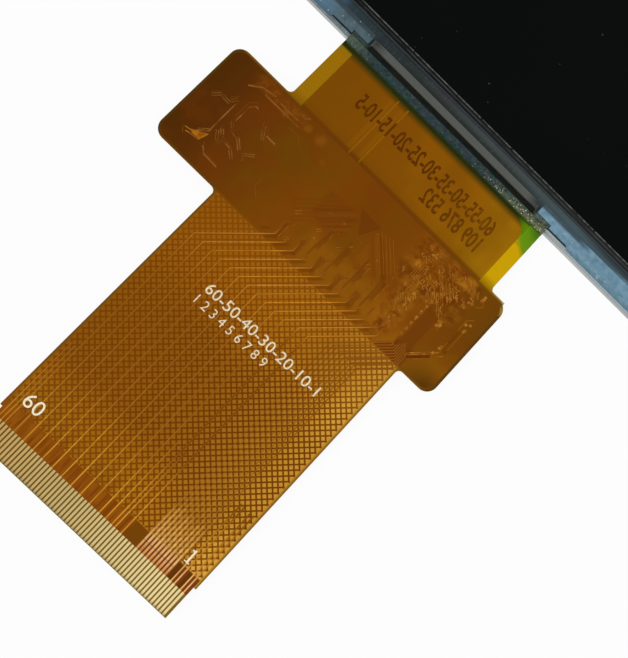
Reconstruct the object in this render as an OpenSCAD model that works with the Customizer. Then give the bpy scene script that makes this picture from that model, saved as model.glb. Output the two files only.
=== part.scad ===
// TFT display module: an edge-lit liquid crystal panel in a steel and plastic tray, with the
// flexible circuit that is bonded to its ledge.
// Millimetres, +Z towards the viewer. The origin is the centre of the panel's rear face, and the
// flexible circuit leaves towards -Y, flat at the height of the glass ledge.

/* [Panel outline] */
// width across the two long sides
module_w = 70.6; // [68:0.1:90]
// length from the side with the circuit to the far side
module_l = 140; // [120:0.5:200]
// radius of the four outer corners in plan
corner_r = 1.2; // [0.8:0.1:2.5]

/* [Back shell] */
// sheet thickness of the folded steel shell
shell_t = 0.15; // [0.1:0.01:0.25]
// height of its folded walls above the rear face
shell_wall_h = 0.8; // [0.65:0.05:0.85]
// length of each snap window in the long walls
clip_l = 4; // [2:0.5:8]
// distance between neighbouring snap windows
clip_pitch = 44; // [20:1:50]

/* [Backlight frame] */
// wall of the white frame beside the glass
frame_wall = 0.6; // [0.5:0.05:1.2]
// thinner wall of the frame on the circuit's side
front_wall = 0.3; // [0.25:0.05:0.5]
// width of the rest that carries the glass ledge
ledge_rest_w = 1.4; // [0.8:0.1:2]
// depth of the bridge that covers the light sources
bridge_l = 4.4; // [4:0.1:6]

/* [Backlight sheets] */
// thickness of the white reflector
reflector_t = 0.08; // [0.05:0.01:0.15]
// thickness of the light guide plate
guide_t = 0.55; // [0.4:0.05:0.6]
// thickness of the diffuser
diffuser_t = 0.08; // [0.05:0.01:0.12]
// thickness of each of the two prism sheets
prism_t = 0.08; // [0.05:0.01:0.12]
// margin by which the light guide is wider than the picture area, each side
guide_margin = 1; // [0.6:0.1:1.2]

/* [Light sources] */
// number of side-view light sources
led_count = 10; // [4:1:12]
// distance from the light guide's side to the first light source
led_margin = 3.65; // [2:0.05:6]
// length of one light source
led_l = 3; // [2:0.1:3.8]
// depth of one light source
led_d = 0.9; // [0.6:0.05:1.2]
// thickness of the circuit strip below them
led_film_t = 0.08; // [0.05:0.01:0.12]
// width of that strip's tail
led_tail_w = 2.2; // [1.5:0.1:4]
// sideways place of that tail
led_tail_x = -6.45; // [-12:0.05:12]

/* [Glass cell] */
// border between the panel's long side and the picture area
side_border = 2.35; // [2.2:0.05:4]
// border between the front glass's edge on the ledge side and the picture area
near_border = 2.9; // [2.5:0.1:6]
// thickness of the adhesive ring under the cell
rim_tape_t = 0.08; // [0.05:0.01:0.15]
// thickness of the rear polariser
rear_polariser_t = 0.12; // [0.08:0.01:0.2]
// thickness of the array glass
array_glass_t = 0.3; // [0.2:0.05:0.5]
// thickness of the colour filter glass
filter_glass_t = 0.25; // [0.2:0.05:0.5]
// thickness of the front polariser
front_polariser_t = 0.12; // [0.08:0.01:0.2]
// depth of the bare ledge of array glass
ledge_w = 3.2; // [3:0.1:4]
// setback of the front polariser from the ledge-side edge of its glass
polariser_setback = 0.9; // [0.3:0.1:1.5]
// border between the far edge of the glass and the picture area
far_border = 1; // [0.8:0.1:2]

/* [Driver chip and sealant] */
// length of the driver chip
chip_l = 29.3; // [20:0.1:32]
// width of the driver chip
chip_w = 1.05; // [0.8:0.05:1.3]
// thickness of the driver chip
chip_t = 0.28; // [0.2:0.01:0.3]
// width of the circuit's bonded end on the ledge
bond_w = 0.5; // [0.4:0.05:0.7]
// thickness of the bonding film under chip and circuit
bond_film_t = 0.02; // [0.02:0.01:0.04]
// thickness of the blue sealant on the ledge
sealant_t = 0.1; // [0.06:0.01:0.16]
// reach of the sealant past the chip, towards the picture
sealant_past = 0.5; // [0.2:0.05:0.8]
// width of the sealant bead over the neck
bead_w = 1.3; // [0.8:0.1:1.8]
// distance from the panel's edge to the outer side of that bead
bead_out = 1; // [0.6:0.1:1.5]
// length of the bead's tongue along the neck's right edge
tongue_l = 3.1; // [1:0.1:5]
// width of that tongue
tongue_w = 1.8; // [1:0.1:2.4]
// width of the recess that the sealant leaves round the circuit
recess_w = 41.4; // [38:0.1:46]
// depth of that recess
recess_d = 0.45; // [0.3:0.05:0.6]

/* [Flexible circuit] */
// distance from the panel's edge to the tip of the tail
flex_reach = 67.2; // [60:0.1:90]
// thickness of the film laminate
film_t = 0.1; // [0.06:0.01:0.15]
// width of the tail
tail_w = 31.2; // [31:0.1:34]
// length of the tail up to the wings
tail_l = 40.7; // [36:0.1:60]
// reach of the left wing from the centre line
wing_left = 26.2; // [24.6:0.1:30]
// reach of the right wing from the centre line
wing_right = 20.6; // [20:0.1:30]
// depth of the wings along the tail
wing_l = 15.5; // [15:0.1:16.5]
// radius of the wings' outer corners
wing_r = 1.6; // [0.6:0.1:2]
// width of the neck between wings and panel
neck_w = 34.9; // [34.4:0.1:37]
// radius of the inner corners at tail and neck
inner_r = 0.7; // [0.3:0.1:1]
// step of the margin between the film's edge and its copper
copper_inset = 0.35; // [0.2:0.05:0.5]

/* [Contacts] */
// number of contact fingers
pin_count = 60; // [60:1:60]
// distance between neighbouring fingers
pin_pitch = 0.5; // [0.5:0.01:0.51]
// width of one finger
finger_w = 0.3; // [0.2:0.01:0.35]
// exposed length of the fingers
finger_l = 3.5; // [2.5:0.1:4]
// width of the narrow end that enters the socket
contact_w = 30.5; // [30.2:0.1:30.9]
// length of that narrow end
contact_l = 4.7; // [4:0.1:5.5]
// thickness of the stiffener behind the fingers
stiffener_t = 0.2; // [0.1:0.01:0.3]
// length of the stiffener
stiffener_l = 5.8; // [5:0.1:8]

/* [Copper] */
// thickness of the ground copper, of which each mesh family takes half
ground_t = 0.02; // [0.01:0.005:0.04]
// thickness of the traces above it
trace_t = 0.02; // [0.01:0.005:0.04]
// solid ground band between the fingers and the mesh
end_pour_l = 2.3; // [1.5:0.1:3]
// distance between neighbouring ribs of the cross-hatched ground
mesh_pitch = 0.665; // [0.5:0.005:1]
// width of one rib
mesh_w = 0.2; // [0.1:0.01:0.3]
// step of the circuit's layout grid, in which places on the wings are counted
grid = 0.1; // [0.1:0.001:0.102]
// width of a lead of the main fan
lead_w = 0.19; // [0.1:0.01:0.25]
// distance from the fan's first bend to the wings
fan_start = 5.7; // [4:0.1:7]
// diagonal run of the fan, measured along the tail
fan_run = 7; // [6.5:0.1:7.5]
// straight end of a fan lead in its low row
stub_l = 2; // [1:0.1:3]
// further reach of the high row
stub_step = 4; // [2:0.1:5]
// length of the short leads beside the fan
edge_lead_l = 12; // [4:0.5:20]
// distance from the control leads' first bend to the wings
control_start = 3.7; // [3:0.1:4.5]
// reach of the control leads into the wing
control_reach = 3; // [2:0.1:3.1]
// place of the first control lead in the wing, from the centre line
control_x = 12.9; // [12.8:0.05:13.2]
// length of the broad foot of a control lead behind its finger
foot_l = 6.4; // [3:0.1:10]
// width of that foot
foot_w = 0.27; // [0.2:0.01:0.32]
// width of a control lead
fine_w = 0.12; // [0.08:0.01:0.16]
// distance between the control leads in the wing
fine_pitch = 0.25; // [0.2:0.01:0.28]
// width of the gaps in the wing's copper
gap_w = 0.14; // [0.08:0.01:0.2]
// diameter of the plated through pads
via_d = 0.3; // [0.2:0.02:0.36]

/* [Parts on the rear of the circuit] */
// length of a chip capacitor or resistor
chip_part_l = 1; // [0.6:0.1:1.2]
// width of the same
chip_part_w = 0.5; // [0.3:0.05:0.6]
// height of a capacitor
capacitor_h = 0.5; // [0.3:0.05:0.6]
// height of a resistor
resistor_h = 0.35; // [0.2:0.05:0.5]
// length of the power chip
power_chip_l = 6; // [5:0.1:6.6]
// width of the power chip
power_chip_w = 2.3; // [2:0.1:2.4]
// height of the power chip
power_chip_h = 0.55; // [0.4:0.05:0.7]
// thickness of the insulating tape over it
tape_t = 0.06; // [0.04:0.01:0.1]

/* [Hidden] */
$fn = 48;
eps = 0.01;

// clearances
shell_fit = 0.03;        // shell wall to frame, and snap nub to its window
glass_clear = 0.1;       // glass edge to frame wall
sheet_clear = 0.15;      // backlight sheet to frame
stack_gap = 0.03;        // air over the top prism sheet
lie_gap = 0.05;          // frame rim below the film
rib_gap = 0.002;         // between the two families of mesh ribs

// heights of the stack, from the rear face up
reflector_z = shell_t;
guide_z = reflector_z + reflector_t;
diffuser_z = guide_z + guide_t;
lower_prism_z = diffuser_z + diffuser_t;
upper_prism_z = lower_prism_z + prism_t;
shelf_z = upper_prism_z + prism_t + stack_gap;
rear_polariser_z = shelf_z + rim_tape_t;
array_z = rear_polariser_z + rear_polariser_t;
ledge_z = array_z + array_glass_t;
front_polariser_z = ledge_z + filter_glass_t;
film_z = ledge_z + bond_film_t;
copper_z = film_z + film_t;
trace_z = copper_z + ground_t;
rim_z = ledge_z - lie_gap;
lip_z = shell_wall_h + lie_gap;

// places along the panel
edge_y = -module_l / 2;
glass_y0 = edge_y + front_wall + glass_clear;
glass_y1 = module_l / 2 - frame_wall - glass_clear;
glass_w = module_w - 2 * (frame_wall + glass_clear);
filter_y0 = glass_y0 + ledge_w;
active_y1 = glass_y1 - far_border;
active_y0 = filter_y0 + near_border;
active_w = module_w - 2 * side_border;
guide_w = active_w + 2 * guide_margin;
led_pitch = (guide_w - 2 * led_margin - led_l) / (led_count - 1);
window_w = guide_w + 2 * sheet_clear;
window_y1 = active_y1 + far_border / 2 + sheet_clear;
bay_y0 = edge_y + shell_t + shell_fit + front_wall;
bridge_y1 = edge_y + bridge_l;
led_y0 = bay_y0 + sheet_clear;
guide_y0 = led_y0 + led_d + stack_gap;
sheet_y0 = bridge_y1 + sheet_clear;
sheet_y1 = window_y1 - sheet_clear;
led_strip_y1 = guide_y0 + led_d;
chip_y0 = glass_y0 + bond_w + glass_clear;
film_end_y = glass_y0 + bond_w;

// places along the circuit, from the tip of the tail
tip_y = edge_y - flex_reach;
neck_y = tail_l + wing_l;
film_l = film_end_y - tip_y;
pour_l = finger_l + end_pour_l;
tail_copper_w = tail_w - 2 * copper_inset;
fan_y = tail_l - fan_start;
lead_span = 3;           // every third finger feeds the main fan
power_chip_x = 118 * grid;
power_chip_y = 60 * grid;
pad_pitch = (power_chip_l - 2 * via_d) / 6;
pad_half = power_chip_w / 2 - 0.05;

// ---------------------------------------------------------------- plain shapes

// rounded rectangle centred on the origin
module rounded(w, l, r) {
    square([w - 2 * r, l], center = true);
    square([w, l - 2 * r], center = true);
    for (x = [-1, 1], y = [-1, 1])
        translate([x * (w / 2 - r), y * (l / 2 - r)]) circle(r);
}

// flat pane of width w between two places along the panel
module pane(w, y0, y1, z, t) {
    translate([-w / 2, y0, z]) cube([w, y1 - y0, t]);
}

// concave corner to add where two edges meet at the origin
module inner_corner(r) {
    difference() {
        translate([-eps, -eps]) square(r + eps);
        translate([r, r]) circle(r);
    }
}

// outline of the whole panel, drawn in by d
module panel_outline(d = 0) {
    rounded(module_w - 2 * d, module_l - 2 * d, corner_r - min(d, corner_r / 2));
}

// strip of width w that follows a path, with mitred bends
function unit(v) = v / norm(v);
function side(a, b) = let (d = unit(b - a)) [-d[1], d[0]];
function mitre(p, i) =
    i == 0 ? side(p[0], p[1]) :
    i == len(p) - 1 ? side(p[i - 1], p[i]) :
    let (m = side(p[i - 1], p[i]), n = side(p[i], p[i + 1])) (m + n) / (1 + m * n);
function strip(p, w) = concat(
    [for (i = [0 : len(p) - 1]) p[i] + mitre(p, i) * w / 2],
    [for (i = [len(p) - 1 : -1 : 0]) p[i] - mitre(p, i) * w / 2]);

// ---------------------------------------------------------------- backlight

module clip_places() {
    for (turn = [0, 180], k = [-1 : 1])
        rotate(turn) translate([module_w / 2, k * clip_pitch, 0]) children();
}

// folded steel tray with snap windows and a slot for the light sources' tail
module back_shell() {
    wall_l = module_l / 2;
    color([0.72, 0.73, 0.74]) difference() {
        linear_extrude(shell_wall_h) panel_outline();
        translate([0, 0, shell_t]) linear_extrude(shell_wall_h) panel_outline(shell_t);
        clip_places() translate([-0.5, -clip_l / 2, shell_t + 0.2])
            cube([1, clip_l, shell_wall_h - shell_t - 0.35]);
        translate([led_tail_x - led_tail_w / 2 - sheet_clear, -wall_l - 0.5, shell_t])
            cube([led_tail_w + 2 * sheet_clear, 1, shell_wall_h]);
    }
}

// white moulded ring: pocket for the light guide, bridge over the light sources, pocket for the
// glass, and a lip over the shell's wall
module backlight_frame() {
    nub = shell_t + shell_fit;
    color([0.86, 0.88, 0.88]) {
        difference() {
            union() {
                translate([0, 0, shell_t])
                    linear_extrude(rim_z - shell_t) panel_outline(shell_t + shell_fit);
                translate([0, 0, lip_z]) linear_extrude(rim_z - lip_z) panel_outline();
                clip_places() translate([-nub - 0.2, -clip_l / 2 + shell_fit, shell_t + 0.2 + shell_fit])
                    cube([nub + 0.2 - 0.03, clip_l - 2 * shell_fit,
                          shell_wall_h - shell_t - 0.35 - 2 * shell_fit]);
            }
            // pocket of light guide and sheets
            translate([-window_w / 2, bridge_y1, -eps])
                cube([window_w, window_y1 - bridge_y1, shelf_z + 1]);
            // bay of the light sources under the bridge
            translate([-window_w / 2, bay_y0, -eps])
                cube([window_w, bridge_y1 - bay_y0 + eps, diffuser_z + lie_gap + eps]);
            // pocket of the glass
            translate([-glass_w / 2 - glass_clear, edge_y + front_wall, shelf_z])
                cube([glass_w + 2 * glass_clear, glass_y1 + glass_clear - edge_y - front_wall, 2]);
            // way out of the light sources' tail
            translate([led_tail_x - led_tail_w / 2 - sheet_clear, edge_y - 0.5, -eps])
                cube([led_tail_w + 2 * sheet_clear, 1.2, shell_t + led_film_t + lie_gap + eps]);
        }
        // rest below the glass ledge
        translate([-glass_w / 2, edge_y + front_wall - eps, shelf_z - eps])
            cube([glass_w, ledge_rest_w, array_z - shelf_z + eps]);
    }
}

module reflector_sheet() {
    color([0.95, 0.95, 0.95])
        pane(guide_w, led_strip_y1 + stack_gap, sheet_y1, reflector_z, reflector_t);
}

// clear plate with a locating notch on each long side
module light_guide() {
    notch_l = 3;
    color([0.85, 0.9, 0.92]) difference() {
        pane(guide_w, guide_y0, sheet_y1, guide_z, guide_t);
        for (s = [-1, 1])
            translate([s * guide_w / 2 - 0.3, sheet_y1 - 12, guide_z - 1]) cube([0.6, notch_l, 2]);
    }
}

module diffuser_sheet() {
    color([0.93, 0.94, 0.95]) pane(guide_w, sheet_y0, sheet_y1, diffuser_z, diffuser_t);
}

module lower_prism_sheet() {
    color([0.8, 0.84, 0.87]) pane(guide_w, sheet_y0, sheet_y1, lower_prism_z, prism_t);
}

module upper_prism_sheet() {
    color([0.74, 0.79, 0.83]) pane(guide_w, sheet_y0, sheet_y1, upper_prism_z, prism_t);
}

// circuit strip under the light sources; its tail leaves the shell, rises and lies on the rear
// of the neck
module led_strip() {
    out = edge_y - 0.8;                        // foot of the slope
    rise = film_z - led_film_t - shell_t;      // from the shell's floor to the film
    land = out - rise;                         // head of the slope
    end_y = tip_y + neck_y + 1.2;              // past the joints on the neck
    k = led_film_t * tan(22.5);
    strip_w = (led_count - 1) * led_pitch + led_l + 1;
    z0 = shell_t;
    color([0.78, 0.6, 0.22]) {
        pane(strip_w, led_y0, led_strip_y1, z0, led_film_t);
        translate([led_tail_x - led_tail_w / 2, 0, z0])
            rotate([90, 0, 90]) linear_extrude(led_tail_w) polygon([
                [led_y0 + eps, 0], [out, 0], [land, rise], [end_y, rise],
                [end_y, rise + led_film_t], [land + k, rise + led_film_t],
                [out + k, led_film_t], [led_y0 + eps, led_film_t]]);
    }
}

// side-view light sources with a lens window towards the light guide
module backlight_leds() {
    color([0.95, 0.9, 0.6]) for (i = [0 : led_count - 1])
        translate([(i - (led_count - 1) / 2) * led_pitch - led_l / 2, led_y0,
                   shell_t + led_film_t])
            difference() {
                cube([led_l, led_d, guide_t]);
                translate([0.3, led_d - 0.1, 0.12]) cube([led_l - 0.6, 1, guide_t - 0.24]);
            }
}

// ---------------------------------------------------------------- glass cell

// adhesive ring that holds the cell on the frame and masks the edges of the sheets
module rim_tape() {
    y0 = edge_y + front_wall + ledge_rest_w + glass_clear;
    color([0.12, 0.12, 0.13]) difference() {
        pane(glass_w - 0.2, y0, glass_y1 - 0.1, shelf_z, rim_tape_t);
        pane(active_w + 0.8, active_y0 - 0.4, active_y1 + 0.3, shelf_z - 1, 2);
    }
}

module rear_polariser() {
    y0 = edge_y + front_wall + ledge_rest_w + 2 * glass_clear;
    color([0.2, 0.22, 0.24])
        pane(glass_w - 0.6, y0, glass_y1 - 0.3, rear_polariser_z, rear_polariser_t);
}

module array_glass() {
    color([0.42, 0.52, 0.6]) pane(glass_w, glass_y0, glass_y1, array_z, array_glass_t);
}

module colour_filter_glass() {
    color([0.16, 0.18, 0.2]) pane(glass_w, filter_y0, glass_y1, ledge_z, filter_glass_t);
}

module front_polariser() {
    color([0.05, 0.06, 0.07])
        pane(glass_w - 1, filter_y0 + polariser_setback, glass_y1 - 0.5,
             front_polariser_z, front_polariser_t);
}

module chip_bond_film() {
    color([0.6, 0.62, 0.55]) pane(chip_l + 0.2, chip_y0, chip_y0 + chip_w, ledge_z, bond_film_t);
}

module driver_chip() {
    color([0.38, 0.38, 0.37]) pane(chip_l, chip_y0, chip_y0 + chip_w, film_z, chip_t);
}

// blue sealant on the ledge: one run each side of the chip, drawn back round the circuit with a
// slanted step
module ledge_sealant() {
    reach = glass_w / 2 - 0.2;
    outer = edge_y + 0.05;
    inner = chip_y0 + chip_w + sealant_past;
    stop = chip_l / 2 + 0.5;
    past = neck_w / 2 + 0.15;
    step = recess_w / 2;
    color([0.5, 0.66, 0.78]) for (s = [0, 1]) mirror([s, 0, 0])
        translate([0, 0, ledge_z]) linear_extrude(sealant_t) polygon([
            [reach, outer], [step + recess_d, outer], [step, outer + recess_d],
            [past, outer + recess_d], [past, film_end_y + 0.08], [stop, film_end_y + 0.08],
            [stop, inner], [reach, inner]]);
}

// ---------------------------------------------------------------- flexible circuit

// Everything below is drawn from the tip of the tail, with y running towards the panel.

module on_circuit(z) {
    translate([0, tip_y, z]) children();
}

module film_outline() {
    difference() {
        union() {
            translate([-contact_w / 2, 0]) square([contact_w, contact_l + 1]);
            translate([-tail_w / 2, contact_l]) square([tail_w, wing_l / 2 + tail_l - contact_l]);
            translate([-neck_w / 2, tail_l + wing_l / 2]) square([neck_w, film_l - tail_l - wing_l / 2]);
            translate([(wing_right - wing_left) / 2, tail_l + wing_l / 2])
                rounded(wing_left + wing_right, wing_l, wing_r);
            for (s = [0, 1]) mirror([s, 0]) {
                translate([tail_w / 2, tail_l]) mirror([0, 1]) inner_corner(inner_r);
                translate([neck_w / 2, neck_y]) inner_corner(inner_r);
            }
        }
        // small relief notch beside the step of the contact end
        for (s = [-1, 1]) translate([s * contact_w / 2, contact_l - 0.2]) circle(d = 0.3);
    }
}

module flex_film() {
    color([0.82, 0.55, 0.12]) on_circuit(film_z) linear_extrude(film_t) film_outline();
}

function finger_x(i) = (i - (pin_count - 1) / 2) * pin_pitch;

module contact_fingers() {
    color([0.93, 0.84, 0.52]) on_circuit(copper_z)
        for (i = [0 : pin_count - 1])
            translate([finger_x(i) - finger_w / 2, 0.08, 0])
                cube([finger_w, finger_l - 0.08, ground_t + trace_t]);
}

// one rib of the mesh: the stretch of a diagonal that lies inside the hatched field
module rib(c, x0, x1, y0, y1) {
    a = max(x0, y0 - c);
    b = min(x1, y1 - c);
    if (b - a > mesh_w) polygon(strip([[a, a + c], [b, b + c]], mesh_w));
}

// one family of parallel diagonals; the other family is its mirror image
module hatch() {
    edge = mesh_w / 2;
    x1 = tail_copper_w / 2 - edge;
    y0 = pour_l + edge;
    y1 = tail_l - edge;
    step = mesh_pitch * sqrt(2);
    count = floor((y1 - y0 + 2 * x1) / step);
    for (i = [0 : count - 1])
        rib(y0 - x1 + (i + 0.5) * step, -x1, x1, y0, y1);
}

// gaps in the solid copper of the left wing, in grid steps from the wing's lower edge
left_gaps = [
    [[-239, 80], [-245, 86], [-237, 94], [-229, 89], [-218, 89]],
    [[-224, 97], [-216, 107]],
    [[-212, 102], [-212, 49], [-224, 37]],
    [[-203, 83], [-203, 109], [-196, 116], [-189, 111]],
    [[-219, 126], [-206, 138], [-136, 138]],
    [[-216, 140], [-208, 147], [-182, 147]],
    [[-156, 143], [-144, 149], [-134, 143]],
    [[-173, 104], [-160, 87]],
    [[-166, 104], [-154, 92], [-142, 92]],
    [[-201, 76], [-190, 65], [-182, 67], [-169, 55]],
    [[-206, 63], [-198, 54], [-179, 52], [-169, 41]],
    [[-151, 67], [-162, 57]],
    [[-233, 22], [-240, 30], [-226, 33]],
    [[-207, 33], [-198, 24], [-175, 24]],
    [[-149, 122], [-131, 122], [-123, 114]],
    [[-126, 53], [-126, 39], [-114, 27]],
];

// gaps in the solid copper of the right wing
right_gaps = [
    [[153, 25], [179, 51], [179, 67]],
    [[185, 59], [185, 95]],
    [[178, 88], [178, 105], [185, 112]],
    [[159, 69], [153, 75], [159, 84]],
    [[175, 125], [182, 132], [176, 140]],
    [[166, 114], [159, 121]],
    [[149, 148], [169, 128]],
];

// outline of the solid copper on the wings
module wing_pour() {
    w = wing_left + wing_right - 2 * copper_inset;
    l = wing_l - 2 * copper_inset;
    difference() {
        union() {
            translate([(wing_right - wing_left) / 2, tail_l + wing_l / 2])
                rounded(w, l, wing_r - copper_inset / 2);
            translate([-tail_copper_w / 2, tail_l]) square([tail_copper_w, 1]);
        }
        translate([0, tail_l]) {
            for (g = left_gaps) polygon(strip(g * grid, gap_w));
            for (g = right_gaps) polygon(strip(g * grid, gap_w));
            // open triangle beside the left wing's corner
            polygon([[-232, 32], [-214, 29], [-209, 45]] * grid);
        }
    }
}

// ground copper: solid band behind the fingers, cross-hatched tail, solid wings
module ground_copper() {
    color([0.5, 0.27, 0.06]) on_circuit(copper_z) {
        linear_extrude(ground_t)
            translate([-tail_copper_w / 2, finger_l]) square([tail_copper_w, end_pour_l]);
        linear_extrude(ground_t / 2 - rib_gap) hatch();
        translate([0, 0, ground_t / 2]) linear_extrude(ground_t / 2) mirror([1, 0]) hatch();
        linear_extrude(ground_t) wing_pour();
    }
}

// copper of the neck, in three fields with two gaps along the light sources' lines
module neck_copper() {
    y0 = neck_y - copper_inset + 0.1;
    y1 = film_l - (film_end_y - edge_y) - 1.4;
    half = neck_w / 2 - 1.9;
    r = 2.2;
    color([0.62, 0.38, 0.06]) on_circuit(copper_z) linear_extrude(ground_t) difference() {
        union() {
            translate([-half, y0]) square([2 * half - r, y1 - y0]);
            translate([half - 2 * r, y0]) square([2 * r, y1 - y0 - r]);
            translate([half - r, y1 - r]) circle(r);
        }
        for (x = [-1, 1])
            translate([led_tail_x + x * (led_tail_w / 2 - 0.25) - 0.12, y0 - 1])
                square([0.24, film_l]);
    }
}

// main fan: every third finger runs up the tail, bends by 45 degrees below the wings and ends in
// one of two staggered rows
module signal_leads() {
    low = fan_y + fan_run + stub_l;
    high = low + stub_step;
    color([0.85, 0.55, 0.2]) on_circuit(trace_z) linear_extrude(trace_t) {
        for (k = [0 : 10]) let (x = finger_x(2 + lead_span * k))
            polygon(strip([[x, finger_l], [x, fan_y], [x + fan_run, fan_y + fan_run],
                           [x + fan_run, k % 2 == 1 && k > 2 ? high : low]], lead_w));
        // two leads that close the fan on its right
        for (k = [0 : 1]) let (x = finger_x(36 + lead_span * k), r = fan_run - 0.9 * k)
            polygon(strip([[x, finger_l], [x, fan_y + 0.6], [x + r, fan_y + 0.6 + r],
                           [x + r, low - 0.4]], lead_w));
        // edge leads
        for (i = [0, 1, 34, 37, 55, 56, 58, 59])
            translate([finger_x(i) - lead_w / 2, finger_l]) square([lead_w, edge_lead_l]);
    }
}

// control leads: ten neighbouring fingers run beside the fan and close up in the right wing
module control_leads() {
    bend = tail_l - control_start;
    top = tail_l + control_reach;
    color([0.6, 0.3, 0.1]) on_circuit(trace_z) linear_extrude(trace_t)
        for (j = [0 : 9]) let (x = finger_x(44 + j), w = control_x + fine_pitch * j, d = w - x) {
            polygon(strip([[x, finger_l], [x, bend], [w, bend + d], [w, top - 0.3 * abs(j - 5)]],
                          fine_w));
            translate([x - foot_w / 2, finger_l]) square([foot_w, foot_l + 0.35 * (j % 3)]);
        }
}

// leads on the wings: an arrow of parallel diagonals over the centre, and bundles round the
// power chip's pads
module wing_leads() {
    color([0.7, 0.42, 0.14]) on_circuit(trace_z) linear_extrude(trace_t) translate([0, tail_l]) {
        polygon([[-12, 113], [22, 113], [7, 86]] * grid);
        for (k = [0 : 4])
            lead([[20 + 5.5 * k, 109 + k], [60 + 3 * k, 69 + 3.5 * k]]);
        for (k = [0 : 5])
            lead([[-12 - 4.5 * k, 92 + 3 * k], [-66 - 3 * k, 38 + 4.5 * k]]);
        for (k = [0 : 4])
            lead([[87 + 3 * k, 119], [87 + 3 * k, 92 - 3 * k], [96 + k, 83 - 5 * k]]);
        for (k = [0 : 4])
            lead([[74 + 4 * k, 129 + 4.5 * k], [136, 129 + 4.5 * k]]);
        for (k = [0 : 3])
            lead([[114 + 5.5 * k, 123], [130 + 4.5 * k, 107 + k]]);
    }
}

module lead(path) {
    polygon(strip(path * grid, fine_w));
}

// plated pads: two columns over the power chip and a scatter at the ends of the fan
module through_pads() {
    color([0.9, 0.68, 0.35]) on_circuit(trace_z) translate([0, tail_l]) {
        for (s = [-1, 1], i = [-3 : 3])
            translate([power_chip_x + s * pad_half, power_chip_y + i * pad_pitch, 0]) pad();
        for (k = [0 : 3]) {
            translate([30 * k - 30, 43] * grid) pad();
            translate([30 * k - 15, 83 - 2 * k] * grid) pad();
        }
    }
}

module pad() {
    cylinder(d = via_d, h = trace_t);
}

module contact_stiffener() {
    color([0.55, 0.42, 0.2]) on_circuit(film_z - stiffener_t) linear_extrude(stiffener_t)
        translate([-contact_w / 2, 0]) square([contact_w, stiffener_l]);
}

module flex_bond_film() {
    color([0.6, 0.62, 0.55]) pane(neck_w, glass_y0, film_end_y, ledge_z, bond_film_t);
}

// sealant bead over the neck where it leaves the ledge, with a tongue along one edge
module neck_sealant() {
    bead_y = film_l - (film_end_y - edge_y) - bead_out;
    color([0.16, 0.42, 0.42]) on_circuit(copper_z) {
        translate([-neck_w / 2 + 0.05, bead_y, 0]) cube([neck_w - 0.1, bead_w, sealant_t / 2]);
        translate([neck_w / 2 - tongue_w - 0.05, bead_y - tongue_l, 0])
            cube([tongue_w, tongue_l + eps, sealant_t / 3]);
    }
}

// ---------------------------------------------------------------- parts on the rear

// small two-ended part hanging from the rear of the film, turned by a
module chip_part(x, y, a, h) {
    translate([x * grid, tail_l + y * grid, -h]) rotate(a) {
        translate([-chip_part_l / 2, -chip_part_w / 2, 0.02]) cube([chip_part_l, chip_part_w, h - 0.02]);
        for (s = [-1, 1]) translate([s * (chip_part_l / 2 - 0.125) - 0.125, -chip_part_w / 2 - 0.02, 0])
            cube([0.25, chip_part_w + 0.04, h]);
    }
}

module capacitors() {
    color([0.72, 0.58, 0.42]) on_circuit(film_z) {
        for (k = [0 : 3]) chip_part(-229, 33 + 26 * k, 90, capacitor_h);
        for (k = [0 : 6]) chip_part(-120 + 26 * k, 129, 0, capacitor_h);
        for (k = [0 : 2]) chip_part(-175 + 22 * k, 37, 0, capacitor_h);
    }
}

module resistors() {
    color([0.13, 0.13, 0.14]) on_circuit(film_z) {
        for (k = [0 : 2]) chip_part(-195, 57 + 23 * k, 90, resistor_h);
        for (k = [0 : 3]) chip_part(-100 + 24 * k, 63, 90, resistor_h);
    }
}

// leadless power chip below the two columns of pads, with its rows of terminals
module power_chip() {
    t = 0.05;                                  // height of a terminal
    color([0.16, 0.16, 0.17]) on_circuit(film_z)
        translate([power_chip_x, tail_l + power_chip_y, 0]) {
            translate([-power_chip_w / 2, -power_chip_l / 2, -power_chip_h])
                cube([power_chip_w, power_chip_l, power_chip_h - t]);
            for (s = [-1, 1], i = [-3 : 3])
                translate([s * (power_chip_w / 2 - 0.15) - 0.2, i * pad_pitch - 0.12, -t - eps])
                    cube([0.4, 0.24, t + eps]);
        }
}

// tape glued to the right wing, drawn over the power chip as a shallow tray; its square corner
// shows past the wing's rounded one
module insulating_tape() {
    deep = power_chip_h + tape_t;
    x0 = 8.9;
    x1 = wing_right - 0.7;
    y0 = tail_l + 0.9;
    y1 = neck_y + 0.15;
    rim = 0.7;
    color([0.8, 0.68, 0.4]) on_circuit(film_z) difference() {
        union() {
            translate([x0, y0, -tape_t]) cube([x1 - x0, y1 - y0, tape_t]);
            translate([x0 + rim, y0 + rim, -deep])
                cube([x1 - x0 - 2 * rim, y1 - y0 - 2 * rim, deep]);
        }
        translate([x0 + rim + tape_t, y0 + rim + tape_t, -power_chip_h])
            cube([x1 - x0 - 2 * (rim + tape_t), y1 - y0 - 2 * (rim + tape_t), power_chip_h + 1]);
    }
}

// two solder joints that tie the light sources' tail to the neck
module led_tail_joints() {
    r = 0.5;
    h = 0.18;
    big = (r * r + h * h) / (2 * h);
    color([0.75, 0.76, 0.78]) on_circuit(film_z - led_film_t) for (s = [-1, 1])
        translate([led_tail_x + s * (led_tail_w / 2 - 0.55), neck_y + 2, 0])
            intersection() {
                translate([0, 0, big - h]) sphere(big);
                translate([-1, -1, -1]) cube([2, 2, 1]);
            }
}

// ---------------------------------------------------------------- drawing

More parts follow.
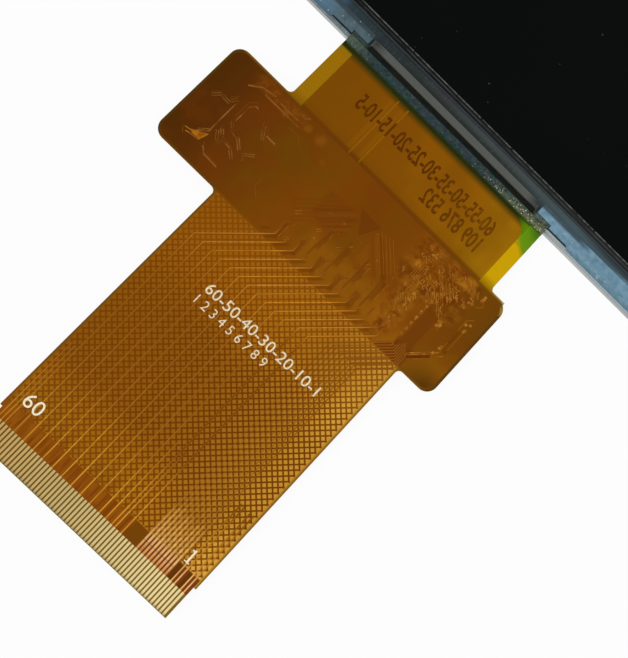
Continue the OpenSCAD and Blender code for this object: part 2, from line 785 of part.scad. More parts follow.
back_shell();
backlight_frame();
reflector_sheet();
light_guide();
diffuser_sheet();
lower_prism_sheet();
upper_prism_sheet();
led_strip();
backlight_leds();
rim_tape();
rear_polariser();
array_glass();
colour_filter_glass();
front_polariser();
chip_bond_film();
driver_chip();
ledge_sealant();
flex_bond_film();
flex_film();
ground_copper();
neck_copper();
signal_leads();
control_leads();
wing_leads();
through_pads();
contact_fingers();
contact_stiffener();
neck_sealant();
capacitors();
resistors();
power_chip();
insulating_tape();
led_tail_joints();
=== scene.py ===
# %% [markdown]
# # A small colour display with its flexible tail
#
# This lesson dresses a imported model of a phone-sized display module. The module is a thin sandwich of
# a steel shell, a moulded frame, light-spreading sheets and two panes of glass. A flexible circuit
# leaves one end: an amber film with copper inside, a neck, two wings for the parts, and a wide tail
# that ends in a row of bare fingers. The shapes are already right, so most of the work is in the
# finishes: copper under a film, bare plated fingers, glass, sealant, and print.
#
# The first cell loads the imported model.

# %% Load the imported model
import math
import random
import bmesh
import bpy
from mathutils import Matrix, Vector, noise


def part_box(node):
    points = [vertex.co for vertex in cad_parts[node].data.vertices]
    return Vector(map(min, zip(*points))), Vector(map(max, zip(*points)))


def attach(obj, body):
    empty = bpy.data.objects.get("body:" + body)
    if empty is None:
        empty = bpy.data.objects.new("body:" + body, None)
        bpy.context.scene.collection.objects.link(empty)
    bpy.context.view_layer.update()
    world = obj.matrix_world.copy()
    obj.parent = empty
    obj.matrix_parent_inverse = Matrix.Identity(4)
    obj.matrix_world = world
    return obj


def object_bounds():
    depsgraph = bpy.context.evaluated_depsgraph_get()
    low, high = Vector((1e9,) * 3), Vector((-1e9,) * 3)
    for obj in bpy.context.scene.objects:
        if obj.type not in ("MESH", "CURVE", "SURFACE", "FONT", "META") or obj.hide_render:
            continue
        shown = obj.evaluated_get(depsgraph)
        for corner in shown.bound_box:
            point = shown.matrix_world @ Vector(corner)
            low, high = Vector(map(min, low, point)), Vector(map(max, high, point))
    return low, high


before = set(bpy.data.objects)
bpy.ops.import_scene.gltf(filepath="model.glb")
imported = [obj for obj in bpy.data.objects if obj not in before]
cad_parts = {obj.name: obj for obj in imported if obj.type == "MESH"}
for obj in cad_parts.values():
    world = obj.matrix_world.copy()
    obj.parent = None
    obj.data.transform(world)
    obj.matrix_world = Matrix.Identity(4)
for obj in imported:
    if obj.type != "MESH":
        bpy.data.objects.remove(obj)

cad_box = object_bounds()
MM = 0.001
print("pieces in the frame:", len(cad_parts))
print("whole part, mm:", [round(v / MM, 2) for v in cad_box[1] - cad_box[0]])

# %% [markdown]
# ## Where things are
#
# The tail is measured from its tip, because that is how its maker's drawing does it: the fingers come
# first, then the tail, the wings, the neck, and the edge of the panel. One corner of the film gives
# that tip, and its top gives the height of the surface that carries the print.

# %% Places taken from the model
film_low, film_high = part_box("flex_film")
tip = film_low.y
film_top = film_high.z
print("tip of the tail at y =", round(tip / MM, 2), "mm, top of the film at z =", round(film_top / MM, 2))


def on_tail(across, along, above=0.0):
    """A place on the flexible circuit, in millimetres from the middle of the tail's tip."""
    return Vector((across * MM, tip + along * MM, film_top + above * MM))


# %% [markdown]
# ## Camera, lamps and floor
#
# The part lies flat and is seen from above, with the tail towards the viewer and the panel running out
# of the frame. A lens of 70 mm on a 36 mm sensor gives the mild perspective of a close product shot.
# The camera is turned by three directions: its right, its up and its back. A single soft sun and an
# even white world add up to a plain level, at which a colour comes out about as it is written.

# %% Set the camera
def put_in_scene(name, data):
    """An object for this mesh, curve, lamp or camera, in the scene."""
    made = bpy.data.objects.new(name, data)
    bpy.context.scene.collection.objects.link(made)
    return made


camera = put_in_scene("camera", bpy.data.cameras.new("camera"))
bpy.context.scene.camera = camera
right = Vector((0.71532595, 0.67055762, 0.19662468))
up = -Vector((0.69653396, -0.70680423, -0.12356461))
back = right.cross(up)
turn = Matrix((right, up, back)).transposed().to_4x4()
camera.matrix_world = Matrix.Translation(on_tail(-4.04, 1.77, 151.36)) @ turn
camera.data.sensor_width = 36
camera.data.lens = 70.12012
camera.data.clip_start, camera.data.clip_end = 0.01, 5
print("camera at", [round(v, 4) for v in camera.location], "lens", round(camera.data.lens, 2))

# %% Light the part evenly
sun = put_in_scene("sun", bpy.data.lights.new("sun", "SUN"))
sun.data.energy = 1.35
sun.data.angle = math.radians(50)
sun.rotation_euler = (math.radians(34), math.radians(-28), 0)

world = bpy.data.worlds.new("white room")
bpy.context.scene.world = world
world.use_nodes = True
room = world.node_tree
even = room.nodes["Background"]
even.inputs["Color"].default_value = (1, 1, 1, 1)
EVEN_LEVEL = 0.6
path = room.nodes.new("ShaderNodeLightPath")
lift = room.nodes.new("ShaderNodeMath")
lift.operation = "MULTIPLY_ADD"
room.links.new(path.outputs["Is Camera Ray"], lift.inputs[0])
lift.inputs[1].default_value = 1 - EVEN_LEVEL
lift.inputs[2].default_value = EVEN_LEVEL
room.links.new(lift.outputs[0], even.inputs["Strength"])
bpy.context.scene.view_settings.view_transform = "Standard"
print("sun", sun.data.energy, "and an even world of", EVEN_LEVEL)

# %% [markdown]
# ## A way to write finishes
#
# A finish is a small program of nodes. Laying nodes out one by one is long-winded, so two small
# classes do it: `Flow` wraps one value, so that sums on it can be written as sums, and `Finish` holds
# the material. Colours are written the way a paint chart gives them, from 0 to 255.

# %% Colours from a chart
def tone(red, green, blue):
    """A chart colour from 0 to 255 a channel, as the amount of light that the shader wants."""
    parts = [c / 255 for c in (red, green, blue)]
    return tuple(p / 12.92 if p <= 0.04045 else ((p + 0.055) / 1.055) ** 2.4 for p in parts) + (1.0,)


# %% One value in a finish
class Flow:
    """A value that runs through a finish; sums written with it become Math nodes."""

    def __init__(self, finish, socket):
        self.finish, self.socket = finish, socket

    def sum(self, kind, *values, clamp=False):
        return self.finish.node("ShaderNodeMath", {"operation": kind, "use_clamp": clamp}, values)

    def __add__(self, other):
        return self.sum("ADD", self, other)

    def __radd__(self, other):
        return self.sum("ADD", other, self)

    def __sub__(self, other):
        return self.sum("SUBTRACT", self, other)

    def __rsub__(self, other):
        return self.sum("SUBTRACT", other, self)

    def __mul__(self, other):
        return self.sum("MULTIPLY", self, other)

    def __rmul__(self, other):
        return self.sum("MULTIPLY", other, self)

    def __truediv__(self, other):
        return self.sum("DIVIDE", self, other)

    def __rtruediv__(self, other):
        return self.sum("DIVIDE", other, self)

    def size(self):
        """The value without its sign."""
        return self.sum("ABSOLUTE", self)

    def part(self):
        """What is left of the value after its whole number."""
        return self.sum("FRACT", self)

    def from_rows(self, first, step):
        """How far the value is from the nearest of even rows, as a share of the step."""
        return (((self - first) / step + 0.5).part() - 0.5).size()

    def rise(self, start, end):
        """0 before start, 1 after end, and a straight slope between them."""
        return self.sum("MULTIPLY", self - start, 1 / (end - start), clamp=True)

    def fall(self, start, end):
        """1 before start, 0 after end."""
        return 1 - self.rise(start, end)

    def between(self, low, high, soft):
        """1 between low and high, fading to 0 over soft outside them."""
        return self.rise(low - soft, low) * self.fall(high, high + soft)


# %% One finish
class Finish:
    """A material while its nodes are laid out. Plain numbers go straight on the shader's sockets."""

    def __init__(self, name, roughness, reflection, **plain):
        self.material = bpy.data.materials.new(name)
        self.material.use_nodes = True
        self.tree = self.material.node_tree
        self.shader = self.tree.nodes["Principled BSDF"]
        plain.update(Roughness=roughness, Specular_IOR_Level=reflection)
        for socket, value in plain.items():
            self.shader.inputs[socket.replace("_", " ")].default_value = value

    def node(self, kind, settings=None, values=(), out=0):
        """Any node: its settings first, then its sockets by number or name, as values or links."""
        made = self.tree.nodes.new(kind)
        for key, value in (settings or {}).items():
            if key == "stops":
                ramp = made.color_ramp.elements
                while len(ramp) < len(value):
                    ramp.new(1.0)
                for element, (place, colour) in zip(ramp, value):
                    element.position, element.color = place, colour
            else:
                setattr(made, key, value)
        pairs = values.items() if isinstance(values, dict) else enumerate(values)
        for key, value in pairs:
            if isinstance(value, Flow):
                self.tree.links.new(value.socket, made.inputs[key])
            else:
                made.inputs[key].default_value = value
        return Flow(self, made.outputs[out])

    def place(self, stretch=(1, 1, 1)):
        """The place on the piece in millimetres, counted from the tip of the tail."""
        spot = self.node("ShaderNodeTexCoord", out=3)
        scale = tuple(1000 * s for s in stretch)
        return self.node("ShaderNodeMapping", None, {0: spot, 1: (0, -tip / MM * stretch[1], 0), 3: scale})

    def axis(self, place, index):
        return self.node("ShaderNodeSeparateXYZ", None, (place,), out=index)

    def ways(self, place):
        """How many millimetres across and along the tail a place lies."""
        return self.axis(place, 0), self.axis(place, 1)

    def map(self):
        """The place on the piece, and how far across and along the tail it lies."""
        spot = self.place()
        return spot, *self.ways(spot)

    def cloud(self, place, spacing, detail=3, warp=0.0):
        """Soft noise whose blotches are about that many millimetres apart, from 0 to 1."""
        return self.node("ShaderNodeTexNoise", None,
                         {"Vector": place, "Scale": 1 / spacing, "Detail": detail, "Roughness": 0.55,
                          "Distortion": warp})

    def streaks(self, wide, long, spacing, detail=3):
        """A cloud squeezed by these factors across and along the tail."""
        return self.cloud(self.place((wide, long, 1)), spacing, detail)

    def grain(self, place, spacing, out=0):
        """Cells about that many millimetres apart: the distance to the nearest, or its own colour."""
        return self.node("ShaderNodeTexVoronoi", None, {"Vector": place, "Scale": 1 / spacing}, out=out)

    def mix(self, mask, first, second):
        """The first colour where the mask is 0, the second where it is 1; a triple is a chart colour."""
        first, second = (tone(*colour) if isinstance(colour, tuple) else colour for colour in (first, second))
        return self.node("ShaderNodeMix", {"data_type": "RGBA"}, {0: mask, 6: first, 7: second}, out=2)

    def over(self, shade, *coats):
        """The shade with coats laid over it in turn, each as (mask, red, green, blue) or (mask, shade)."""
        for mask, *colour in coats:
            shade = self.mix(mask, shade, tuple(colour) if len(colour) == 3 else colour[0])
        return shade

    def chart(self, value, low, high, *stops):
        """A strip of colours along a value, each stop as (value, red, green, blue)."""
        marks = [((at - low) / (high - low), tone(*shade)) for at, *shade in stops]
        return self.node("ShaderNodeValToRGB", {"stops": marks}, (value.rise(low, high),))

    def close(self, shade, roughness, height, depth):
        """Feeds the shader its colour, its roughness, and a relief of that many millimetres."""
        relief = self.node("ShaderNodeBump", None, {"Distance": depth * MM, "Height": height})
        for socket, flow in (("Base Color", shade), ("Roughness", roughness), ("Normal", relief)):
            self.tree.links.new(flow.socket, self.shader.inputs[socket])


def dress(finish, *nodes):
    """Gives the finish to these pieces of the model."""
    for name in nodes:
        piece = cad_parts[name]
        if not piece.material_slots:
            piece.data.materials.append(finish.material)
        for slot in piece.material_slots:
            slot.material = finish.material
    print(finish.material.name, "on", ", ".join(nodes))


# %% [markdown]
# ## The floor
#
# The part lies on a plain pale table. What the camera sees of it is close to pure white; the rest of
# the light sees an ordinary white surface, so the part keeps a faint shadow where it hovers over it.

# %% Lay the floor
sheet = bmesh.new()
bmesh.ops.create_grid(sheet, x_segments=1, y_segments=1, size=1.5)
bmesh.ops.translate(sheet, verts=sheet.verts, vec=(0, 0, cad_box[0].z - 0.02 * MM))
floor_mesh = bpy.data.meshes.new("floor")
sheet.to_mesh(floor_mesh)
sheet.free()
floor = put_in_scene("floor", floor_mesh)
table = Finish("white table", 0.9, 0.1, Base_Color=tone(236, 236, 236))
seen = table.node("ShaderNodeLightPath", out=0) + table.node("ShaderNodeLightPath", out=3)
seen = seen + table.node("ShaderNodeLightPath", out=6)
glow = table.node("ShaderNodeEmission", None, {"Color": (1, 1, 1, 1), "Strength": 1.0})
blend = table.node("ShaderNodeMixShader", None,
                   {0: seen.rise(0, 1) * 0.93, 1: Flow(table, table.shader.outputs[0]), 2: glow})
table.tree.links.new(blend.socket, table.tree.nodes["Material Output"].inputs["Surface"])
floor_mesh.materials.append(table.material)
print("floor at z =", round(floor_mesh.vertices[0].co.z / MM, 3), "mm")

# %% [markdown]
# ## The amber film
#
# The film is polyimide: clear amber plastic, 0.1 mm thick with its covers, over a white table. Where
# no copper lies under it, light goes through, comes back, and leaves a warm yellow brown. Painted light
# makes the tail brightest towards its right corner and olive near the fingers. The same shares of
# painted light are used by the copper beneath, so they are worked out once, in a helper.

# %% How painted light runs over the flexible circuit
WING_LEFT, WING_RIGHT, WING_FOOT, WING_HEAD, WING_ROUND = -26.2, 20.6, 40.7, 56.2, 1.6
RIB_STEP, FIRST_RIB = 0.9405, 0.6247


def shine(finish, place):
    """Painted light on each length of the tail: 0 in its dull middle, 1 behind the fingers and at the bend.
    """
    along = finish.axis(place, 1)
    ends = along.fall(7, 14.5) + along.rise(26, 35) - 0.35 * along.rise(35, 40)
    return (ends + 0.5 * finish.cloud(place, 6, detail=2) - 0.25).rise(0, 1)


def tail_shade(finish, place, dull, lit):
    """Colours from the tail's left edge to its brighter, painted-lit right, for its dull and lit lengths."""
    across = finish.axis(place, 0)
    return finish.mix(shine(finish, place), finish.chart(across, -16, 16, *dull),
                      finish.chart(across, -16, 16, *lit))


def olive_light(finish, place):
    """A patch of painted olive light behind the left fingers."""
    across, along = finish.ways(place)
    return along.fall(7, 14) * across.fall(-1, 7) * along.rise(4.6, 7)


def red_foot(finish, place):
    """Reddish streaks that run up from behind the left fingers."""
    across, along = finish.ways(place)
    streaks = finish.streaks(4, 0.4, 1.9)
    return along.fall(6, 8.5) * streaks.rise(0.42, 0.58) * across.fall(3, 6)


def painted_bend_light(finish, place, shade):
    """Painted light at the bend: film and copper both take some of one lit colour and come closer together.
    """
    across, along = finish.ways(place)
    lit_bend = finish.chart(across, -16, 16, (-15, 140, 78, 3), (0, 151, 88, 8), (15, 162, 102, 18))
    return finish.mix(along.rise(31, 35) * 0.35, shade, lit_bend)


def wing_shade(finish, place, *lift):
    """The wings' brown, darkest at the left end, with painted sunlight at the right; the same for film and
    copper.
    """
    across, along = finish.ways(place)
    rows = ((-26, 80, 42, 1), (-22.5, 88, 45, 2), (-19, 101, 51, 3), (-12, 112, 61, 1), (-6, 124, 66, 2),
            (0, 119, 63, 2), (5, 124, 67, 3), (9.5, 135, 75, 5), (13.5, 129, 70, 5), (17, 117, 68, 4),
            (20.5, 111, 65, 4))
    rows = [(at, *(c + more for c, more in zip(shade, lift or (0, 0, 0)))) for at, *shade in rows]
    shade = finish.chart(across, -26.5, 21, *rows)
    near_tail = along.fall(41, 47) * 0.7 + along.fall(48.5, 52) * 0.3
    near_tail = near_tail * across.rise(-18, 2) * across.fall(11, 13)
    shade = finish.mix(near_tail * 0.55, shade, (146, 86, 6))
    # painted sunlight: a lit patch at the right end of the wings, by the tail
    sunny = across.rise(14.5, 16) * along.fall(44.5, 49) * (1 - (along - across).rise(26.9, 28.2) * 0.7)
    return finish.mix(sunny * 0.8, shade, (137, 83, 5))


def from_wing_edge(finish, place):
    """How deep a place lies inside the rounded outline of the wings, in millimetres."""
    wide = (finish.axis(place, 0) - (WING_LEFT + WING_RIGHT) / 2).size()
    wide = wide - ((WING_RIGHT - WING_LEFT) / 2 - WING_ROUND)
    long = (finish.axis(place, 1) - (WING_FOOT + WING_HEAD) / 2).size()
    long = long - ((WING_HEAD - WING_FOOT) / 2 - WING_ROUND)
    wide, long = wide.sum("MAXIMUM", wide, 0), long.sum("MAXIMUM", long, 0)
    return WING_ROUND - wide.sum("SQRT", wide * wide + long * long)


def over_rib(finish, place):
    """1 where a rib of the mesh passes under a lead and dims it."""
    across, along = finish.ways(place)
    ribs = [way.from_rows(FIRST_RIB, RIB_STEP).fall(0.1, 0.2) for way in (along - across, along + across)]
    return (ribs[0] + ribs[1]).rise(0, 1) * along.rise(5.9, 6.1) * along.fall(40, 40.4)


def lost_stretch(across, along):
    """1 over the middle of the right leads, where nothing lights them."""
    return across.rise(2.4, 2.9) * along.rise(12, 15) * along.fall(33, 36)


def by_fingers(across, along):
    """1 at the foot of the right leads, where they turn pink: the copper's colour with a painted sheen."""
    return across.rise(6.9, 7.3) * along.fall(5.2, 7.5)


def round_patch(finish, place, across, along, radius):
    """1 at this place on the circuit, fading to 0 at that radius in millimetres."""
    wide, long = finish.axis(place, 0) - across, finish.axis(place, 1) - along
    return 1 - wide.sum("SQRT", wide * wide + long * long).rise(radius * 0.4, radius)


# %% The film itself
amber = Finish("amber polyimide film", 0.4, 0.035)
spot, across, along = amber.map()
shade = tail_shade(amber, spot,
                   ((-15, 146, 88, 9), (-8, 147, 88, 11), (-3, 150, 91, 14), (2, 160, 101, 18),
                    (7, 173, 114, 28), (12, 194, 134, 36), (14, 206, 148, 48), (15.2, 206, 148, 48)),
                   ((-15, 164, 99, 8), (-8, 172, 104, 9), (-3, 180, 111, 13), (2, 187, 121, 17),
                    (7, 185, 123, 26), (12, 212, 152, 46), (14, 232, 174, 66), (15.2, 228, 170, 62)))
shade = painted_bend_light(amber, spot, amber.mix(olive_light(amber, spot), shade, (164, 106, 12)))
by_control = across.between(7.1, 12.2, 0.1) * along.fall(9, 14)
wings = along.rise(40.5, 41.2)
wing_film = amber.mix(across.rise(-10, 6), wing_shade(amber, spot, 20, 12, 5),
                      wing_shade(amber, spot, 32, 21, 8))
# a painted highlight on the film of the left wing
hot_highlight = across.between(-23.6, -20.8, 0.2) * along.between(43.2, 45.9, 0.2)
rim = wings * (1 - from_wing_edge(amber, spot).rise(0.3, 0.42))
neck = along.rise(55.8, 56.2)
strips = amber.mix(across.rise(-14, 14), (160, 113, 4), (210, 166, 2))
strips = amber.mix(across.size().fall(14.2, 14.8), strips, (150, 92, 5))
green = across.rise(12.5, 14.5) * (along + 0.8 * across).rise(75.8, 76.9) + 0.25 * along.rise(64.6, 65.6)
dark_line = along.rise(65.45, 65.75) * (1 - across.rise(13.5, 15) * along.fall(65.9, 66.2))
ledge_end = amber.mix(across.rise(-2, 2), (54, 72, 70), (86, 102, 92))
ledge_end = amber.mix(amber.cloud(spot, 0.4, detail=4).rise(0.42, 0.6) * 0.7, ledge_end, (38, 50, 46))
ledge_end = amber.mix(across.size().rise(14.6, 15.3), (12, 24, 22), ledge_end)
bare = along.fall(3.45, 3.55)
fibres = amber.streaks(1, 6, 1.2, detail=4)
shade = amber.over(
    shade,
    (across.size().rise(15.15, 15.45) * 0.75, 104, 68, 10),
    (red_foot(amber, spot) * 0.65, 140, 74, 7),
    (by_control * 0.55, 140, 84, 8),
    (wings, wing_film),
    (hot_highlight * amber.cloud(spot, 0.7).rise(0.3, 0.6), 180, 108, 16),
    (rim * 0.85, 80, 54, 9),
    (round_patch(amber, spot, 20.4, 55.3, 0.9).rise(0, 1) * 0.7, 166, 136, 60),
    (neck, amber.mix(along.fall(56, 57.6) * 0.9, strips, (132, 86, 4))),
    (green.rise(0, 1), amber.mix(across.rise(14, 16), (70, 112, 4), (98, 142, 2))),
    (dark_line, 34, 44, 8),
    (along.rise(67.3, 67.5), ledge_end),
    (bare, amber.mix(across.rise(-15, 15), (104, 84, 34), (132, 100, 26))),
    (fibres.rise(0.35, 0.8) * 0.12, 104, 58, 4))
amber.close(shade, 0.34 + 0.16 * amber.cloud(spot, 4), amber.cloud(spot, 1.6, detail=2), 0.01)
dress(amber, "flex_film")

# %% [markdown]
# ## Copper under the film
#
# The ground copper is a solid band behind the fingers, a cross-hatched mesh over the tail, and a flood
# on the wings. Under the film copper turns from pink to a dull red brown, and it is the darker of the
# two: the mesh reads as dark lines on amber, faint at the left of the tail and strong at the right. The
# signal leads lie nearer the face. Their edges stand up under the cover film and catch the light; that
# light is painted on a ribbon over each lead, so they are the bright lines of the tail.

# %% The ground copper
NEAR_BAR_STEP, FAR_BAR_STEP = 3.1, 3.05
ground = Finish("copper mesh under film", 0.42, 0.035)
spot, across, along = ground.map()
shade = tail_shade(ground, spot,
                   ((-15, 123, 66, 1), (-8, 121, 64, 1), (-3, 118, 62, 1), (2, 117, 60, 1), (7, 116, 58, 1),
                    (12, 118, 62, 2), (15.2, 119, 64, 3)),
                   ((-15, 133, 72, 1), (-8, 135, 73, 1), (-3, 133, 72, 1), (2, 131, 70, 2), (7, 126, 68, 2),
                    (12, 132, 75, 6), (15.2, 138, 82, 9)))
shade = painted_bend_light(ground, spot, ground.mix(olive_light(ground, spot), shade, (130, 74, 5)))
band = along.fall(5.55, 5.95)
streaks = ground.streaks(5, 0.5, 2.0)
red_band = ground.mix(streaks.rise(0.35, 0.62), (122, 60, 2), (150, 84, 9))
red_band = ground.over(
    red_band,
    (along.rise(4, 5.6) * across.fall(0, 4) * 0.3, 142, 80, 6),
    (across.rise(6.9, 7.1), 122, 62, 16),
    (across.between(5.2, 7.2, 0.2), 118, 68, 2),
    (across.between(12.1, 12.9, 0.05) + across.between(13.7, 14.3, 0.05), 100, 54, 4))
flood = wing_shade(ground, spot)
blotch = ground.cloud(spot, 4, detail=2)
shade = ground.over(
    shade,
    (red_foot(ground, spot) * 0.7, 126, 64, 5),
    (band, red_band))
glow = across.between(-3, 8.6, 1.6) * along.between(41.4, 45, 1.6)
near_bars = across.from_rows(-0.4, NEAR_BAR_STEP).fall(0.07, 0.15)
far_bars = across.from_rows(1.1, FAR_BAR_STEP).fall(0.07, 0.15)
bars = near_bars * along.between(41.7, 43.8, 0.5) + far_bars * along.between(44.6, 47.0, 0.6)
bars = bars * across.between(-6.9, 7.6, 0.3) * (1 - across.fall(-3.4, -3.1) * along.rise(44.2, 44.4))
beside_leads = ((across - along) / 1.5).part().between(0.64, 0.92, 0.07)
foot_strips = beside_leads * across.between(-8.4, 9.5, 0.3) * along.between(40.4, 41.9, 0.5)
# soft slanted tracks run down from both sides of the dark wedge to the staggered bars
right_slant = ground.chart(across + along, 51, 58.5, (51.3, 131, 74, 5), (52.5, 120, 64, 2),
                           (53.2, 131, 74, 7), (53.75, 118, 61, 2), (54.3, 112, 56, 1), (54.85, 129, 71, 6),
                           (55.2, 121, 63, 2), (55.6, 129, 70, 5), (56.1, 122, 64, 3), (56.7, 126, 68, 5),
                           (58.5, 119, 65, 2))
left_slant = ground.chart(along - across, 48, 56, (48.2, 124, 66, 3), (49.1, 118, 60, 1), (49.45, 128, 70, 7),
                          (50.1, 114, 56, 1), (50.45, 124, 66, 6), (50.9, 117, 59, 2), (51.5, 117, 59, 2),
                          (52.05, 125, 68, 7), (52.7, 117, 60, 2), (53.2, 111, 56, 1), (53.8, 119, 62, 2),
                          (56, 116, 62, 1))
busy = across.between(7.5, 16.2, 1.2) * along.between(49.4, 55.2, 0.9)
busy = busy + across.between(9.0, 11.4, 0.7) * along.between(41.6, 50, 0.5)
patchy = ground.cloud(spot, 1.1)
# a painted glow of warm light along the top of the left wing
painted_warm_glow = across.between(-20.5, -14.5, 2.0) * along.between(54.3, 55.2, 0.9)
spill = round_patch(ground, spot, -10.8, 54.6, 1.0) + round_patch(ground, spot, -12.9, 54.6, 0.7)
spill = spill + round_patch(ground, spot, -16.2, 53.9, 0.6) + round_patch(ground, spot, -8.7, 52.7, 0.6) * 0.5
block = across.between(13.3, 15, 0.15) * along.between(43.8, 51.4, 0.4)
gilt = across.between(14.0, 15.6, 0.8) * along.between(54.2, 55.4, 0.5)
gilt = gilt + across.between(8.3, 8.6, 0.6) * along.between(52.0, 52.3, 0.6)
twins = across.between(18.0, 18.08, 0.1) + across.between(18.44, 18.52, 0.1)
dim = across.between(-12.2, -10.2, 1.8) * along.between(49.6, 51.4, 1.6)
bundle = across.between(10.2, 15.3, 0.3) * along.fall(43.2, 43.9) * (along + across).rise(51.6, 52.2)
past_bundle = (along - across).rise(29.75, 30.05) * across.fall(12.7, 13)
lit_rim = past_bundle * across.rise(10.4, 11.2) * (1 - (along - across).rise(30.2, 33))
corner = across.rise(15, 19) * along.fall(41.4, 44)
flood = ground.over(
    flood,
    (blotch.rise(0.5, 0.64) * across.between(-14, 12, 6) * 0.35, 110, 72, 1),
    (blotch.rise(0.5, 0.36) * 0.25, 120, 56, 2),
    (glow * (0.2 + 0.3 * ground.cloud(spot, 2.2, detail=2)), 156, 97, 10),
    (bars * 0.55, 112, 56, 2),
    (foot_strips * 0.6, 112, 56, 2),
    (across.between(2.6, 8.8, 0.5) * along.between(46.9, 51.0, 0.4) * 0.9, right_slant),
    (across.between(-5.2, -0.9, 0.6) * along.between(47.2, 50.8, 0.5) * 0.9, left_slant),
    ((busy * patchy.rise(0.5, 0.68)).rise(0, 1) * 0.6, 156, 95, 18),
    ((busy * patchy.rise(0.5, 0.34)).rise(0, 1) * 0.8, 106, 50, 3),
    (painted_warm_glow * (0.15 + 0.5 * patchy.rise(0.45, 0.62)), 138, 74, 9),
    (spill.rise(0, 1) * patchy.rise(0.3, 0.5) * 0.7, 138, 78, 13),
    (block * 0.5, 106, 54, 3),
    (gilt.rise(0, 1) * patchy.rise(0.35, 0.6) * 0.9, 170, 108, 20),
    (twins * along.between(46.2, 49.2, 0.3) * 0.6, 96, 48, 1),
    (dim * 0.25, 98, 72, 0),
    (bundle * (1 - past_bundle) * 0.7, 106, 50, 2),
    (lit_rim * 0.9, 148, 90, 9),
    (corner * 0.7, 70, 44, 4))
shade = ground.mix(along.rise(40.5, 41.0), shade, flood)
ground.close(shade, 0.36 + 0.18 * ground.cloud(spot, 3), ground.cloud(spot, 0.9), 0.015)
dress(ground, "ground_copper")

# %% The signal leads
leads = Finish("copper leads under film", 0.38, 0.05)
spot, across, along = leads.map()
# painted light: the leads are brighter behind the fingers and at the bend, as the film is
shade = leads.chart(along, 3, 49, (3.5, 184, 112, 20), (7, 188, 124, 24), (10, 170, 107, 16),
                    (14, 148, 87, 10), (22, 136, 78, 8), (30, 140, 82, 12), (36, 152, 88, 14),
                    (40.4, 148, 84, 10), (41.2, 118, 60, 3), (45, 116, 60, 3), (48.5, 110, 56, 2))
sheen = leads.streaks(3, 0.4, 1.4, detail=2)
shade = leads.over(
    shade,
    (by_fingers(across, along), 222, 150, 78),
    (over_rib(leads, spot) * 0.4, 126, 70, 5),
    (lost_stretch(across, along), 124, 70, 6),
    (sheen.rise(0.4, 0.75) * 0.4, 126, 70, 5))
leads.close(shade, 0.3 + 0.2 * sheen, sheen, 0.006)
dress(leads, "signal_leads")

# %% The ten control leads
control = Finish("control leads under film", 0.38, 0.05)
spot = control.place()
along = control.axis(spot, 1)
# painted light and sheen: the control leads are brightest just behind the fingers
shade = control.chart(along, 3, 45, (3.5, 218, 146, 78), (5.2, 240, 186, 122), (6.6, 236, 182, 100),
                      (8.4, 222, 164, 76), (10, 210, 150, 60), (12, 192, 132, 44), (16, 172, 112, 28),
                      (30, 156, 94, 18), (37, 150, 87, 18), (40.5, 156, 92, 20), (44, 144, 82, 14))
sheen = control.streaks(3, 0.5, 1.5, detail=2)
shade = control.over(
    shade,
    (over_rib(control, spot) * (0.35 + 0.45 * along.rise(9, 15)), 134, 78, 10),
    (along.between(4.8, 4.86, 0.05) * 0.6, 140, 70, 26),
    (sheen.rise(0.42, 0.7) * 0.4, 140, 80, 20))
control.close(shade, 0.3 + 0.2 * sheen, sheen, 0.006)
dress(control, "control_leads")

# %% The tracks of the wings
tracks = Finish("wing tracks under film", 0.38, 0.05)
spot, across, along = tracks.map()
sheen = tracks.cloud(spot, 1.7)
shade = tracks.chart(across, -9, 15, (-8, 122, 66, 3), (-2, 124, 68, 3), (-1.3, 112, 57, 1),
                     (1.9, 112, 57, 1), (2.6, 142, 80, 8), (6, 146, 84, 9), (14, 152, 90, 18))
shade = tracks.over(
    shade,
    (sheen.rise(0.42, 0.7) * 0.4, 116, 60, 2),
    (along.rise(53.2, 53.5) * sheen.rise(0.35, 0.5) * 0.8, 126, 68, 6))
tracks.close(shade, 0.3 + 0.2 * sheen, sheen, 0.006)
dress(tracks, "wing_leads")

# %% Plated pads
def worn_metal(name, low, high, spacing, roughness, depth=0.003):
    """Metal under the film, worn in blotches from one tone to the other."""
    made = Finish(name, roughness, 0.05)
    wear = made.cloud(made.place(), spacing)
    made.close(made.mix(wear.rise(0.35, 0.65), low, high), roughness + 0.2 * wear, wear, depth)
    return made


pads = worn_metal("plated pads under film", (128, 72, 8), (156, 98, 26), 0.5, 0.3, depth=0.006)
dress(pads, "through_pads")

# %% The copper of the neck
neck_finish = Finish("neck copper under film", 0.4, 0.035)
_, across, along = neck_finish.map()
drift = neck_finish.streaks(1, 0.5, 4.5, detail=2)
shade = neck_finish.chart(across, -16, 16, (-15.5, 129, 77, 0), (-6, 136, 80, 0), (3, 143, 86, 1),
                          (9, 147, 92, 2), (12.5, 154, 104, 3), (15.5, 164, 114, 4))
by_gaps = across.between(-8.1, -7.7, 0.2) + across.between(-6.3, -5.9, 0.2)
shade = neck_finish.over(
    shade,
    (drift.rise(0.4, 0.6) * 0.3, 116, 66, 0),
    (by_gaps * along.between(57, 64.6, 0.8) * 0.4, 146, 88, 2),
    (along.fall(56.2, 57.8) * 0.25, 104, 58, 2),
    (along.fall(56.3, 56.6) * 0.7, 106, 50, 2),
    (along.rise(64.9, 65.7) * 0.85, 44, 48, 6))
neck_finish.close(shade, 0.32 + 0.14 * drift, drift, 0.01)
dress(neck_finish, "neck_copper")
